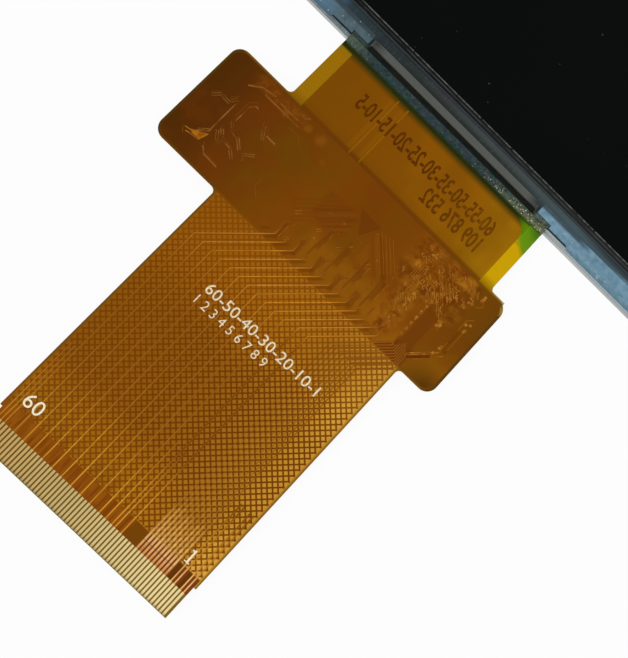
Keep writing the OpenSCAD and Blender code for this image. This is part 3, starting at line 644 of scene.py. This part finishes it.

# %% [markdown]
# ## Painted highlights on the leads, and loose tracks
#
# A lead under a cover film has a rounded crown, and only the crown catches the light. That light is
# painted on a ribbon made from a copy of the lead's own top: its loose triangles are merged into one
# face a lead, the face is inset, the rim is dropped, and what stays is raised a little into a closed ribbon.
#
# The right wing also carries the winding tracks of the power supply. They are too many to draw one by
# one, and no two run alike, so they are sown: short tracks on a slanted lattice, each wandering a
# little about the same heading. A curve with a round section makes each one, flattened once it is mesh.

# %% A helper for pieces made of a bmesh
def keep_piece(name, form, finish):
    """Turns a bmesh into a finished piece that rides with the part."""
    bmesh.ops.recalc_face_normals(form, faces=form.faces)
    mesh = bpy.data.meshes.new(name)
    form.to_mesh(mesh)
    form.free()
    mesh.materials.append(finish.material)
    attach(put_in_scene(name, mesh), "root")
    print(name, "has", len(mesh.polygons), "faces")


# %% Painted highlights on the crowns of the signal leads
def crown(source, name, rim, lift, finish):
    """A narrower ribbon on the top of every lead of this piece, which carries a painted highlight."""
    form = bmesh.new()
    form.from_mesh(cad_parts[source].data)
    bmesh.ops.remove_doubles(form, verts=form.verts, dist=0.0005 * MM)
    top = max(v.co.z for v in form.verts)
    form.normal_update()
    rest = [f for f in form.faces if min(v.co.z for v in f.verts) < top - 0.001 * MM]
    bmesh.ops.delete(form, geom=rest, context="FACES")
    bmesh.ops.dissolve_limit(form, angle_limit=0.01, verts=form.verts, edges=form.edges)
    edge = bmesh.ops.inset_region(form, faces=form.faces, thickness=rim * MM, use_boundary=True,
                                  use_even_offset=True)
    bmesh.ops.delete(form, geom=edge["faces"], context="FACES")
    raised = bmesh.ops.extrude_face_region(form, geom=form.faces[:], use_keep_orig=True)["geom"]
    verts = [v for v in raised if isinstance(v, bmesh.types.BMVert)]
    bmesh.ops.translate(form, verts=verts, vec=(0, 0, lift * MM))
    keep_piece(name, form, finish)


lit = Finish("lit crown of a lead", 0.4, 0.05)
spot, across, along = lit.map()
shade = lit.chart(along, 3, 49, (3.5, 214, 142, 42), (7, 220, 158, 46), (10, 206, 140, 36),
                  (14, 178, 111, 23), (22, 164, 98, 18), (30, 170, 104, 24), (36, 212, 141, 42),
                  (40.5, 204, 132, 34), (42, 168, 102, 18), (43.2, 128, 70, 6), (48.5, 116, 60, 3))
breaks = lit.streaks(2, 0.5, 1.6)
shade = lit.over(
    shade,
    (across.fall(-14, -5) * 0.5, 150, 88, 12),
    (by_fingers(across, along), 246, 186, 112),
    (over_rib(lit, spot) * 0.4, 140, 80, 10),
    (lost_stretch(across, along), 132, 78, 8),
    (breaks.rise(0.45, 0.7) * 0.5, 146, 84, 12))
lit.close(shade, 0.3 + 0.2 * breaks, breaks, 0.003)
# a ribbon of painted highlight on every signal lead
crown("signal_leads", "lead_highlight_ribbons", 0.025, 0.006, lit)

# %% Tracks swept along a path
def sweep_tracks(name, paths, width, rise, finish, base=0.02):
    """Raised tracks along these paths on the circuit, each a flattened round section."""
    line = bpy.data.curves.new(name, "CURVE")
    line.dimensions = "3D"
    line.bevel_depth = width / 2 * MM
    line.bevel_resolution = 1
    line.use_fill_caps = True
    for path in paths:
        spline = line.splines.new("POLY")
        spline.points.add(len(path) - 1)
        for point, place in zip(spline.points, path):
            point.co = (*on_tail(*place, base), 1)
    shape = bpy.data.objects.new(name + "_line", line)
    form = bmesh.new()
    form.from_mesh(shape.to_mesh())
    level = film_top + base * MM
    bmesh.ops.scale(form, verts=form.verts, vec=(1, 1, rise / (width / 2)),
                    space=Matrix.Translation((0, 0, -level)))
    bpy.data.objects.remove(shape)
    bpy.data.curves.remove(line)
    keep_piece(name, form, finish)


dice = random.Random(58)


def sow(left, right, low, high, heading, gap, length, sway, share):
    """Short winding tracks with one heading, sown over a patch of the circuit."""
    turn = math.radians(heading)
    ahead, side = Vector((math.cos(turn), math.sin(turn))), Vector((-math.sin(turn), math.cos(turn)))
    middle = Vector(((left + right) / 2, (low + high) / 2))
    reach = math.hypot(right - left, high - low) / 2
    found = []
    for row in range(int(-reach / gap), int(reach / gap) + 1):
        for step in range(int(-reach / length), int(reach / length) + 1):
            start = middle + side * gap * row + ahead * (length * 1.15 * step + dice.uniform(-0.4, 0.4))
            stretch, keep, phase = length * dice.uniform(0.55, 1.1), dice.random() < share, dice.uniform(0, 9)
            if not (left < start.x < right and low < start.y < high and keep):
                continue
            drift = [side * sway * noise.noise(Vector((phase, row, 0.55 * k))) for k in range(8)]
            found.append([tuple(start + ahead * stretch * k / 7 + aside) for k, aside in enumerate(drift)])
    return found


# %% The winding tracks of the power supply
wound = Finish("winding tracks under film", 0.4, 0.05)
spot = wound.place()
along = wound.axis(spot, 1)
glint = wound.cloud(spot, 0.9)
shade = wound.mix(glint.rise(0.35, 0.65), (134, 78, 12), (186, 122, 40))
shade = wound.mix(along.rise(54.4, 56) * 0.6, shade, (128, 74, 8))
wound.close(shade, 0.32 + 0.2 * glint, glint, 0.003)
winding = []
for patch in ((7.3, 14.8, 50.2, 55.4, -45, 0.42, 1.1, 0.45, 0.6),
              (11.6, 14.2, 49.9, 53.2, -47, 0.27, 1.6, 0.12, 0.8),
              (8.9, 11.0, 46.6, 49.6, -44, 0.32, 1.3, 0.1, 0.85),
              (8.9, 10.4, 48.8, 50.2, 90, 0.3, 0.9, 0.1, 0.85),
              (9.7, 10.9, 42.8, 46.2, -62, 0.4, 0.7, 0.3, 0.5),
              (14.4, 17.2, 52.3, 55.2, -44, 0.42, 1.0, 0.4, 0.6),
              (16.6, 18.2, 44.2, 46.0, 45, 0.4, 0.9, 0.1, 0.4)):
    winding += sow(*patch)
sweep_tracks("winding_tracks", winding, 0.13, 0.012, wound)

# %% Drops of solder beside the supply chip
tin = worn_metal("solder drops under film", (140, 84, 14), (178, 118, 38), 0.6, 0.32)
drops = [(column, 44.15 + 0.95 * k) for column in (10.7, 12.9) for k in range(6)]
for across, along, count in ((15.5, 48.0, 5), (17.8, 54.3, 4), (18.3, 50.4, 4), (16.6, 52.5, 3),
                             (17.5, 45.8, 3), (9.4, 53.8, 3)):
    drops += [(across + dice.uniform(-0.35, 0.35), along + dice.uniform(-0.8, 0.8)) for _ in range(count)]
form = bmesh.new()
for across, along in drops:
    made = bmesh.ops.create_uvsphere(form, u_segments=14, v_segments=6, radius=0.21 * MM)["verts"]
    bmesh.ops.scale(form, verts=made, vec=(1, 1, 0.08))
    bmesh.ops.translate(form, verts=made, vec=on_tail(across, along, 0.02))
keep_piece("solder_drops", form, tin)

# %% The fainter tracks of the left wing and the middle
faint = Finish("faint tracks under film", 0.4, 0.05)
spot, across, along = faint.map()
glint = faint.cloud(spot, 1.2)
shade = faint.mix(glint.rise(0.36, 0.64), (108, 60, 10), (144, 92, 36))
middle = faint.mix(glint.rise(0.4, 0.6), (128, 72, 5), (152, 93, 15))
warmed = faint.mix(glint.rise(0.36, 0.64), (124, 70, 14), (148, 88, 28))
shade = faint.over(
    shade,
    (along.rise(52.8, 53.2), warmed),
    (across.rise(-13, -10), middle))
faint.close(shade, 0.32 + 0.2 * glint, glint, 0.003)


def beside(path, offset):
    """The same path moved sideways, so that two tracks can run as a pair."""
    moved = []
    for k, here in enumerate(path):
        ahead = Vector(path[min(k + 1, len(path) - 1)]) - Vector(path[max(k - 1, 0)])
        ahead.normalize()
        moved.append((here[0] - ahead.y * offset, here[1] + ahead.x * offset))
    return moved


paired_runs = (
    ((-24.2, 49.0), (-23.4, 49.9), (-21.9, 49.8)),
    ((-22.0, 50.1), (-21.5, 50.9)),
    ((-20.1, 48.4), (-19.1, 47.4)),
    ((-18.2, 47.4), (-17.0, 46.3)),
    ((-20.3, 46.8), (-19.5, 46.0)),
    ((-20.6, 46.3), (-19.9, 45.4), (-19.3, 45.3)),
    ((-17.8, 45.6), (-16.9, 44.8)),
    ((-16.9, 50.8), (-15.9, 49.3)),
    ((-15.2, 47.2), (-16.3, 46.3), (-15.7, 45.7)),
    ((-21.2, 45.6), (-22.3, 44.6)),
)
single_runs = (
    ((-21.3, 50.2), (-21.25, 45.8)),
    ((-18.8, 51.8), (-19.3, 51.9), (-19.8, 51.3), (-19.85, 48.7)),
    ((-19.1, 47.3), (-18.2, 47.2)),
    ((-19.5, 45.8), (-17.9, 45.7)),
    ((-15.9, 50.1), (-14.4, 50.1)),
    ((-20.5, 43.6), (-19.7, 42.9), (-17.5, 42.8)),
    ((-23.3, 43.4), (-22.5, 43.6), (-21.5, 43.7)),
    ((-21.9, 53.1), (-20.3, 54.3), (-18.4, 54.6)),
    ((-19.6, 53.8), (-13.9, 53.8)),
    ((-17.5, 54.4), (-14.5, 54.4)),
    ((-15.2, 54.9), (-14.6, 55.3), (-14.0, 55.2), (-13.5, 55.7)),
)
loose = [beside(run, side) for run in paired_runs for side in (0.16, -0.16)]
# staggered bars end the leads of the fan; each bar has a lit edge on both sides
bar_ends = [(NEAR_BAR_STEP * column - 0.4, 41.9, 44.0) for column in range(-2, 3)]
bar_ends += [(FAR_BAR_STEP * column + 1.1, 44.6, 47.2) for column in range(-1, 3)]
for x, foot, head in bar_ends:
    loose += [[(x + side, foot), (x + side, head), (x + side + 0.5, head + 0.5)] for side in (-0.36, 0.36)]
sweep_tracks("faint_tracks", loose, 0.14, 0.01, faint)
sweep_tracks("faint_broad_tracks", single_runs, 0.24, 0.01, faint)
# a pair of short tracks leads to a plated hole between every two bars
holes = [(3.2 * column - 6.6, 46.2) for column in range(5)]
holes += [(3.1 * column - 5.3, 42.5) for column in range(5)]
stubs = []
for x, y in holes:
    x, reach = x + dice.uniform(-0.25, 0.25), dice.uniform(0.2, 0.5)
    stubs += [beside([(x - reach, y - reach), (x + 0.3, y + 0.3)], side) for side in (0.15, -0.15)]
stubs += [[(2.1, 50.9), (2.5, 51.3)], [(-3.9, 48.5), (-3.5, 48.9)]]
sweep_tracks("hole_stubs", stubs, 0.15, 0.01, faint)

# %% The dark track round the right end
shaded = worn_metal("dark track under film", (98, 44, 1), (110, 55, 3), 1.3, 0.34)
corner_run = [(15.05, 41.2), (15.1, 42.25), (17.4, 44.55)]
sweep_tracks("end_track", [corner_run], 0.3, 0.012, shaded)
beside_corner = [beside(corner_run[1:], 0.3), beside([(15.3, 42.45), (16.6, 43.75)], 0.5),
                 [(16.6, 44.4), (17.3, 45.1)], [(17.6, 45.3), (17.9, 45.8)]]
sweep_tracks("end_track_light", beside_corner, 0.16, 0.012, wound)
sweep_tracks("end_track_edge", [beside(corner_run[1:], -0.27)], 0.1, 0.01, faint)

# %% [markdown]
# ## The bare fingers
#
# At the tip the cover film ends and sixty copper fingers lie bare, nickel plated and then flashed with
# gold. The plating is bright but not a mirror: long rolling marks run along each finger, and painted
# light makes the gold paler towards the right. The stiffener under them is a plain amber plate.

# %% Gold on the fingers
fingers = Finish("gold plated fingers", 0.35, 0.25)
_, across, along = fingers.map()
rolled = fingers.streaks(8, 0.5, 1.1)
# painted light: both charts grow paler towards the right
dull = fingers.chart(across, -15, 15, (-13, 190, 148, 82), (-3, 190, 162, 101), (12, 236, 208, 138))
bright = fingers.chart(across, -15, 15, (-13, 217, 175, 103), (-3, 217, 192, 127), (12, 246, 230, 174))
shade = fingers.mix(rolled, dull, bright)
shade = fingers.mix(along.fall(0.1, 0.5) * 0.5, shade, (120, 112, 70))
fingers.close(shade, 0.26 + 0.2 * rolled, rolled, 0.004)
dress(fingers, "contact_fingers")

# %% The plate under the fingers
plate = Finish("amber stiffener", 0.45, 0.2)
fibres = plate.streaks(1, 5, 2.0)
shade = plate.mix(fibres.rise(0.3, 0.7), (150, 96, 20), (184, 124, 34))
plate.close(shade, 0.38 + 0.2 * fibres, fibres, 0.01)
dress(plate, "contact_stiffener")

# %% [markdown]
# ## The panes
#
# The panel is two panes of glass with the picture layer between them. The lower pane sticks out as a
# ledge that carries the driver chip, and from above it is a dark blue grey. The upper pane is edged in
# dark green. A polariser covers it: nearly black, smooth, with a few specks of dust on it.

# %% The ledge glass
ledge = Finish("dark ledge glass", 0.14, 0.12, Coat_Weight=0.05, Coat_Roughness=0.08)
spot, across, along = ledge.map()
lines = ledge.streaks(6, 0.8, 1.0)
shade = ledge.chart(across, -22, 22, (-21, 40, 58, 66), (-14, 38, 46, 48), (-4, 40, 44, 43),
                    (8, 44, 50, 49), (14, 54, 66, 67), (20, 56, 80, 90))
run_out = across.rise(21.5, 24) * (1 - (along - 0.12 * across).rise(66.25, 66.75))
shade = ledge.over(
    shade,
    (lines.rise(0.55, 0.75) * 0.35, 92, 104, 104),
    (along.rise(69.7, 70.3) * across.rise(-10, 4) * 0.45, 84, 92, 92),
    (along.fall(68.9, 69.5) * 0.6, 22, 30, 34),
    (run_out, ledge.mix(lines.rise(0.3, 0.7), (86, 118, 138), (112, 144, 164))),
    (across.fall(-22, -20) * 0.5, 86, 116, 142),
    (across.rise(20, 26) * along.rise(70.1, 70.4) * 0.55, 22, 38, 44))
ledge.close(shade, 0.12 + 0.12 * ledge.cloud(spot, 2), lines, 0.003)
dress(ledge, "array_glass")

# %% The upper pane
pane = Finish("upper pane edge", 0.12, 0.1, Coat_Weight=0.05, Coat_Roughness=0.08)
_, across, along = pane.map()
streak = pane.streaks(0.8, 5, 1.2)
shade = pane.mix(across.rise(-10, 20), (9, 12, 11), (32, 34, 34))
shade = pane.over(
    shade,
    (streak.rise(0.55, 0.75) * 0.25, 70, 68, 74),
    (along.fall(70.86, 70.94) * 0.5, 84, 92, 98),
    (along.between(71.3, 71.36, 0.05) * streak.rise(0.3, 0.6) * 0.5, 96, 98, 100))
pane.close(shade, 0.12 + 0.1 * streak, streak, 0.003)
dress(pane, "colour_filter_glass")

# %% The dark polariser
polariser = Finish("black polariser", 0.16, 0.03)
spot = polariser.place()
along = polariser.axis(spot, 1)
cast = polariser.cloud(spot, 30, detail=1)
shade = polariser.mix(cast, (6, 8, 7), (11, 13, 12))
cut_edge = along.fall(71.76, 71.84)
nicks = polariser.streaks(2.5, 1, 1.2)
dust = 1 - polariser.grain(spot, 2.3).rise(0.035, 0.065)
shade = polariser.over(
    shade,
    (cut_edge * nicks.rise(0.3, 0.6), 112, 112, 106),
    (dust * polariser.cloud(spot, 6).rise(0.45, 0.6) * 0.5, 84, 90, 90))
polariser.close(shade, 0.16 + 0.06 * polariser.cloud(spot, 6), polariser.cloud(spot, 12, detail=1), 0.004)
dress(polariser, "front_polariser", "rear_polariser")

# %% [markdown]
# ## The driver chip and the sealants
#
# The chip is one long splinter of silicon, glued face down on the ledge. A clear blue sealant is run
# along it and over the joint between the neck and the glass. It keeps moisture off the bare leads, and
# its surface is lumpy and wet, so it breaks the light into small glints, which are painted highlights.

# %% Bare silicon
silicon = Finish("ground silicon", 0.3, 0.3)
_, across, along = silicon.map()
swirl = silicon.streaks(0.6, 3, 1.2, detail=4)
shade = silicon.mix(swirl, (76, 79, 73), (90, 93, 86))
shade = silicon.mix(across.size().rise(12.6, 14.2) * 0.85, shade,
                    silicon.mix(swirl.rise(0.4, 0.6), (28, 34, 34), (50, 56, 56)))
# painted shade: a dark band along the chip's edge on the tail side
shade = silicon.mix(along.fall(68.2, 68.36) * 0.8, shade, (26, 28, 26))
silicon.close(shade, 0.24 + 0.2 * swirl, swirl, 0.004)
dress(silicon, "driver_chip")

# %% Blue sealant on the ledge
ledge_seal = Finish("blue ledge sealant", 0.2, 0.3, Coat_Weight=0.2, Coat_Roughness=0.1)
spot, across, along = ledge_seal.map()
lumps = ledge_seal.grain(spot, 0.6)
mottle = ledge_seal.cloud(spot, 0.9, detail=4, warp=0.6)
left_part = ledge_seal.mix(mottle.rise(0.3, 0.7), (58, 80, 88), (84, 106, 114))
left_part = ledge_seal.mix(across.fall(-22.5, -20) * 0.6, left_part, (84, 122, 152))
right_part = ledge_seal.mix(mottle.rise(0.3, 0.7), (90, 128, 148), (122, 158, 178))
shade = ledge_seal.mix(across.rise(-14, 14), left_part, right_part)
glint = lumps.fall(0.1, 0.2) * ledge_seal.cloud(spot, 1.6).rise(0.5, 0.6)
shade = ledge_seal.over(
    shade,
    (along.rise(69.0, 69.3) * across.fall(21.5, 24) * 0.85, 34, 52, 60),
    (along.fall(67.3, 67.9) * 0.45, 58, 88, 104),
    (glint * 0.6, 196, 212, 216))
ledge_seal.close(shade, 0.14 + 0.25 * mottle, lumps * 0.5 + mottle, 0.05)
dress(ledge_seal, "ledge_sealant")

# %% Teal sealant over the neck, green where the film shows through
neck_seal = Finish("teal neck sealant", 0.25, 0.12)
spot, across, along = neck_seal.map()
lumps = neck_seal.grain(spot, 0.3)
mottle = neck_seal.cloud(spot, 0.42, detail=4, warp=0.8)
tint = neck_seal.grain(spot, 0.55, out=1)
shade = neck_seal.mix(mottle.rise(0.32, 0.68), (22, 38, 36), (58, 74, 74))
near_shore = 1 - 0.6 * along.rise(66.75, 67.05)
slant = along + (1.45 * across.rise(15.1, 16.9) - 0.65) * across.rise(13, 14)
olive_skin = neck_seal.chart(slant, 62.6, 66.6, (62.8, 184, 148, 2), (63.4, 158, 150, 2), (63.9, 104, 150, 1),
                             (65.4, 98, 142, 1), (66.6, 70, 116, 2))
olive_skin = neck_seal.mix(across.rise(13.5, 15), (44, 64, 8), olive_skin)
shore = along.between(66.45, 66.8, 0.12) + along.between(66.45, 67.2, 0.15) * across.rise(7, 14)
share = 0.1 + 0.5 * across.rise(2, 11) + 0.2 * across.fall(-16, -14)
glint = lumps.fall(0.16, 0.3) * shore.rise(0, 1)
glint = glint * (neck_seal.cloud(spot, 1.0) + share - 0.3).rise(0.42, 0.56)
shine_tone = neck_seal.mix(across.rise(6, 14), (150, 190, 196), (232, 226, 190))
shade = neck_seal.over(
    shade,
    (neck_seal.axis(tint, 0).rise(0.6, 0.9) * 0.35, 34, 66, 80),
    (neck_seal.axis(tint, 1).rise(0.7, 0.9) * 0.35, 60, 52, 66),
    (across.fall(-17, -13.5) * 0.6 * mottle.rise(0.25, 0.6), 108, 120, 98),
    (across.rise(6, 16) * 0.8 * near_shore * mottle.rise(0.25, 0.6), 130, 134, 86),
    (along.fall(66.25, 66.55) * 0.8, 22, 40, 12),
    (along.fall(66.1, 66.3), olive_skin),
    (glint * 0.9, shine_tone))
neck_seal.close(shade, 0.2 + 0.25 * mottle, lumps * 0.5 + mottle, 0.05)
dress(neck_seal, "neck_sealant")

# %% [markdown]
# ## Frame, shell and sheets
#
# Round the panes runs a moulded frame of pale grey plastic in a shell of pressed steel. Between shell
# and glass lie the sheets that spread the light. They show only as thin lines at the edges, but each
# one has its own finish, so that it reads right when the part is opened or turned over.

# %% The moulded frame
moulded = Finish("pale moulded frame", 0.5, 0.3)
spot, across, along = moulded.map()
flow_marks = moulded.cloud(spot, 1.6, detail=4)
scuffs = moulded.streaks(7, 0.5, 1.3, detail=2).rise(0.62, 0.72)
# painted shade: the frame is darker towards its left end and towards the tail
shade = moulded.mix(across.rise(-16, 16) + along.rise(69, 75), (74, 88, 92), (150, 160, 162))
shade = moulded.mix(flow_marks.rise(0.3, 0.7) * 0.35, shade, (184, 192, 194))
shade = moulded.mix(scuffs * 0.5, shade, (204, 212, 214))
moulded.close(shade, 0.42 + 0.2 * flow_marks, flow_marks, 0.02)
dress(moulded, "backlight_frame")

# %% The pressed shell
steel = Finish("pressed steel shell", 0.4, 0.5, Metallic=0.85)
spot = steel.place()
brushed = steel.streaks(0.25, 9, 1.0, detail=4)
prints = steel.cloud(spot, 14, detail=2)
shade = steel.mix(brushed, (158, 162, 164), (196, 199, 200))
shade = steel.mix(prints.rise(0.5, 0.75) * 0.3, shade, (140, 144, 146))
steel.close(shade, 0.3 + 0.25 * prints, brushed, 0.006)
dress(steel, "back_shell")

# %% The sheets between them
def plain_finish(name, low, high, spacing, roughness, stretch=(1, 1, 1), reflection=0.3, spread=0.15,
                 depth=0.01):
    """Two colours in a fine texture, which also roughens the surface a little."""
    made = Finish(name, roughness, reflection)
    texture = made.cloud(made.place(stretch), spacing)
    made.close(made.mix(texture, low, high), roughness + spread * texture, texture, depth)
    return made


for name, low, high, spacing, roughness, *nodes in (
        ("silver reflector", (214, 216, 218), (234, 236, 238), 2, 0.25, "reflector_sheet"),
        ("clear light guide", (206, 222, 222), (226, 238, 238), 4, 0.1, "light_guide"),
        ("frosted diffuser", (222, 224, 222), (240, 241, 240), 0.6, 0.6, "diffuser_sheet"),
        ("black rim tape", (26, 27, 28), (38, 39, 40), 0.8, 0.5, "rim_tape"),
        ("white light strip", (216, 212, 196), (232, 228, 214), 1.5, 0.4, "led_strip"),
        ("light source resin", (214, 196, 96), (236, 220, 128), 0.5, 0.3, "backlight_leds"),
        ("anisotropic bond film", (92, 96, 84), (112, 116, 102), 0.3, 0.35,
         "flex_bond_film", "chip_bond_film")):
    dress(plain_finish(name, low, high, spacing, roughness), *nodes)
for name, ribs, node in (("prism film along", (6, 0.2, 1), "lower_prism_sheet"),
                         ("prism film across", (0.2, 6, 1), "upper_prism_sheet")):
    dress(plain_finish(name, (186, 192, 196), (214, 220, 224), 0.2, 0.3, ribs), node)

# %% [markdown]
# ## Parts on the back of the wings
#
# The back of the wings carries the small parts: ceramic capacitors, film resistors, a supply chip and
# a patch of insulating tape. Each has the finish of its kind.

# %% Small parts
for name, low, high, roughness, node in (
        ("tan ceramic", (146, 112, 74), (172, 136, 94), 0.4, "capacitors"),
        ("black resistor glaze", (22, 22, 24), (40, 40, 44), 0.25, "resistors"),
        ("black epoxy", (28, 28, 30), (44, 44, 46), 0.5, "power_chip"),
        ("tinned joints", (188, 190, 192), (222, 224, 226), 0.25, "led_tail_joints")):
    dress(plain_finish(name, low, high, 0.18, roughness, reflection=0.4, spread=0.2, depth=0.006), node)
dress(plain_finish("tan insulating tape", (170, 156, 88), (194, 182, 118), 3, 0.35), "insulating_tape")

# %% [markdown]
# ## White and dark print
#
# The first and the last finger are numbered on the tail, so that the plug is not put in the wrong way
# round. The numbers are printed in white ink, about a hundredth of a millimetre thick. Two white rows of
# plain numbers stand where a maker would put the lines of print. On the real neck two dark rows are
# printed on the other face and show through the film as in a mirror. Here they are thin mirrored
# letters on this face, because no light has to pass through the film to show them.

# %% Ink
COPPER_RISE, WHITE_THICK, DARK_THICK = 0.04, 0.012, 0.006
ink = Finish("white print", 0.5, 0.08)
spot = ink.place()
cover = ink.cloud(spot, 0.25)
number_ink = ink.mix(cover.rise(0.3, 0.6), (234, 216, 174), (255, 248, 220))
row_ink = ink.mix(cover.rise(0.3, 0.6), (216, 190, 140), (246, 228, 190))
shade = ink.mix(ink.axis(spot, 1).rise(15, 20), number_ink, row_ink)
ink.close(shade, 0.4 + 0.2 * cover, cover, 0.006)

dark_ink = Finish("dark print", 0.5, 0.03)
spot = dark_ink.place()
cover = dark_ink.cloud(spot, 0.3)
left_print = dark_ink.mix(cover.rise(0.3, 0.6), (106, 56, 2), (88, 42, 0))
right_print = dark_ink.mix(cover.rise(0.3, 0.6), (124, 74, 6), (104, 56, 2))
shade = dark_ink.mix(dark_ink.axis(spot, 0).rise(0, 11), left_print, right_print)
dark_ink.close(shade, 0.4 + 0.2 * cover, cover, 0.006)


def printed(name, words, across, along, finish, thick, bold=0.0, mirrored=False):
    """Prints words on the circuit so that they fill across = (left, right) and along = (foot, head)."""
    curve = bpy.data.curves.new(name, "FONT")
    curve.body, curve.size, curve.extrude, curve.resolution_u, curve.offset = words, 1.0, 0.01, 3, bold
    drawn = put_in_scene(name + "_outline", curve)
    bpy.context.view_layer.update()
    outline = bpy.data.meshes.new_from_object(drawn.evaluated_get(bpy.context.evaluated_depsgraph_get()))
    bpy.data.objects.remove(drawn)
    form = bmesh.new()
    form.from_mesh(outline)
    bpy.data.meshes.remove(outline)
    bmesh.ops.remove_doubles(form, verts=form.verts, dist=1e-5)
    low = [min(v.co[i] for v in form.verts) for i in range(3)]
    high = [max(v.co[i] for v in form.verts) for i in range(3)]
    wide = (across[1] - across[0]) / (high[0] - low[0]) * (-1 if mirrored else 1)
    tall = (along[1] - along[0]) / (high[1] - low[1])
    bmesh.ops.translate(form, verts=form.verts, vec=[-(low[i] + high[i]) / 2 for i in range(3)])
    bmesh.ops.scale(form, verts=form.verts,
                    vec=(wide * MM, tall * MM, thick * MM / (high[2] - low[2])))
    bmesh.ops.translate(form, verts=form.verts,
                        vec=on_tail(sum(across) / 2, sum(along) / 2, COPPER_RISE + thick / 2))
    keep_piece(name, form, finish)


printed("last_finger_number", "60", (-14.0, -11.45), (6.35, 8.2), ink, WHITE_THICK)
printed("finger_count_row", "60-50-40-30-20-10-1", (-8.1, 10.3), (30.75, 32.25), ink, WHITE_THICK, bold=0.006)
printed("short_count_row", "1 2 3 4 5 6 7 8 9", (-8.1, 3.4), (28.9, 30.15), ink, WHITE_THICK)
printed("mirrored_count_row", "60-55-50-35-30-25-20-15-10-5", (-11, 12.6), (60.9, 63.26), dark_ink,
        DARK_THICK, bold=0.014, mirrored=True)
printed("mirrored_short_row", "109 876 532", (2.9, 12.5), (58.06, 60.45), dark_ink,
        DARK_THICK, bold=0.014, mirrored=True)

# %% [markdown]
# The first finger's number has a foot and a flag, which the plain lettering lacks, so its strokes are
# three thin bars of ink.

# %% The number of the first finger
NUMBER_MIDDLE = 0.047


def bar(form, across, along):
    """One stroke of ink between these places on the tail."""
    made = bmesh.ops.create_cube(form, size=1.0)["verts"]
    size = (across[1] - across[0], along[1] - along[0], WHITE_THICK)
    bmesh.ops.scale(form, verts=made, vec=[side * MM for side in size])
    bmesh.ops.translate(form, verts=made, vec=on_tail(sum(across) / 2, sum(along) / 2, NUMBER_MIDDLE))


strokes = bmesh.new()
bar(strokes, (12.5, 12.74), (6.33, 8.02))
bar(strokes, (12.2, 13.0), (6.2, 6.33))
bar(strokes, (12.24, 12.5), (7.72, 7.9))
keep_piece("first_finger_number", strokes, ink)
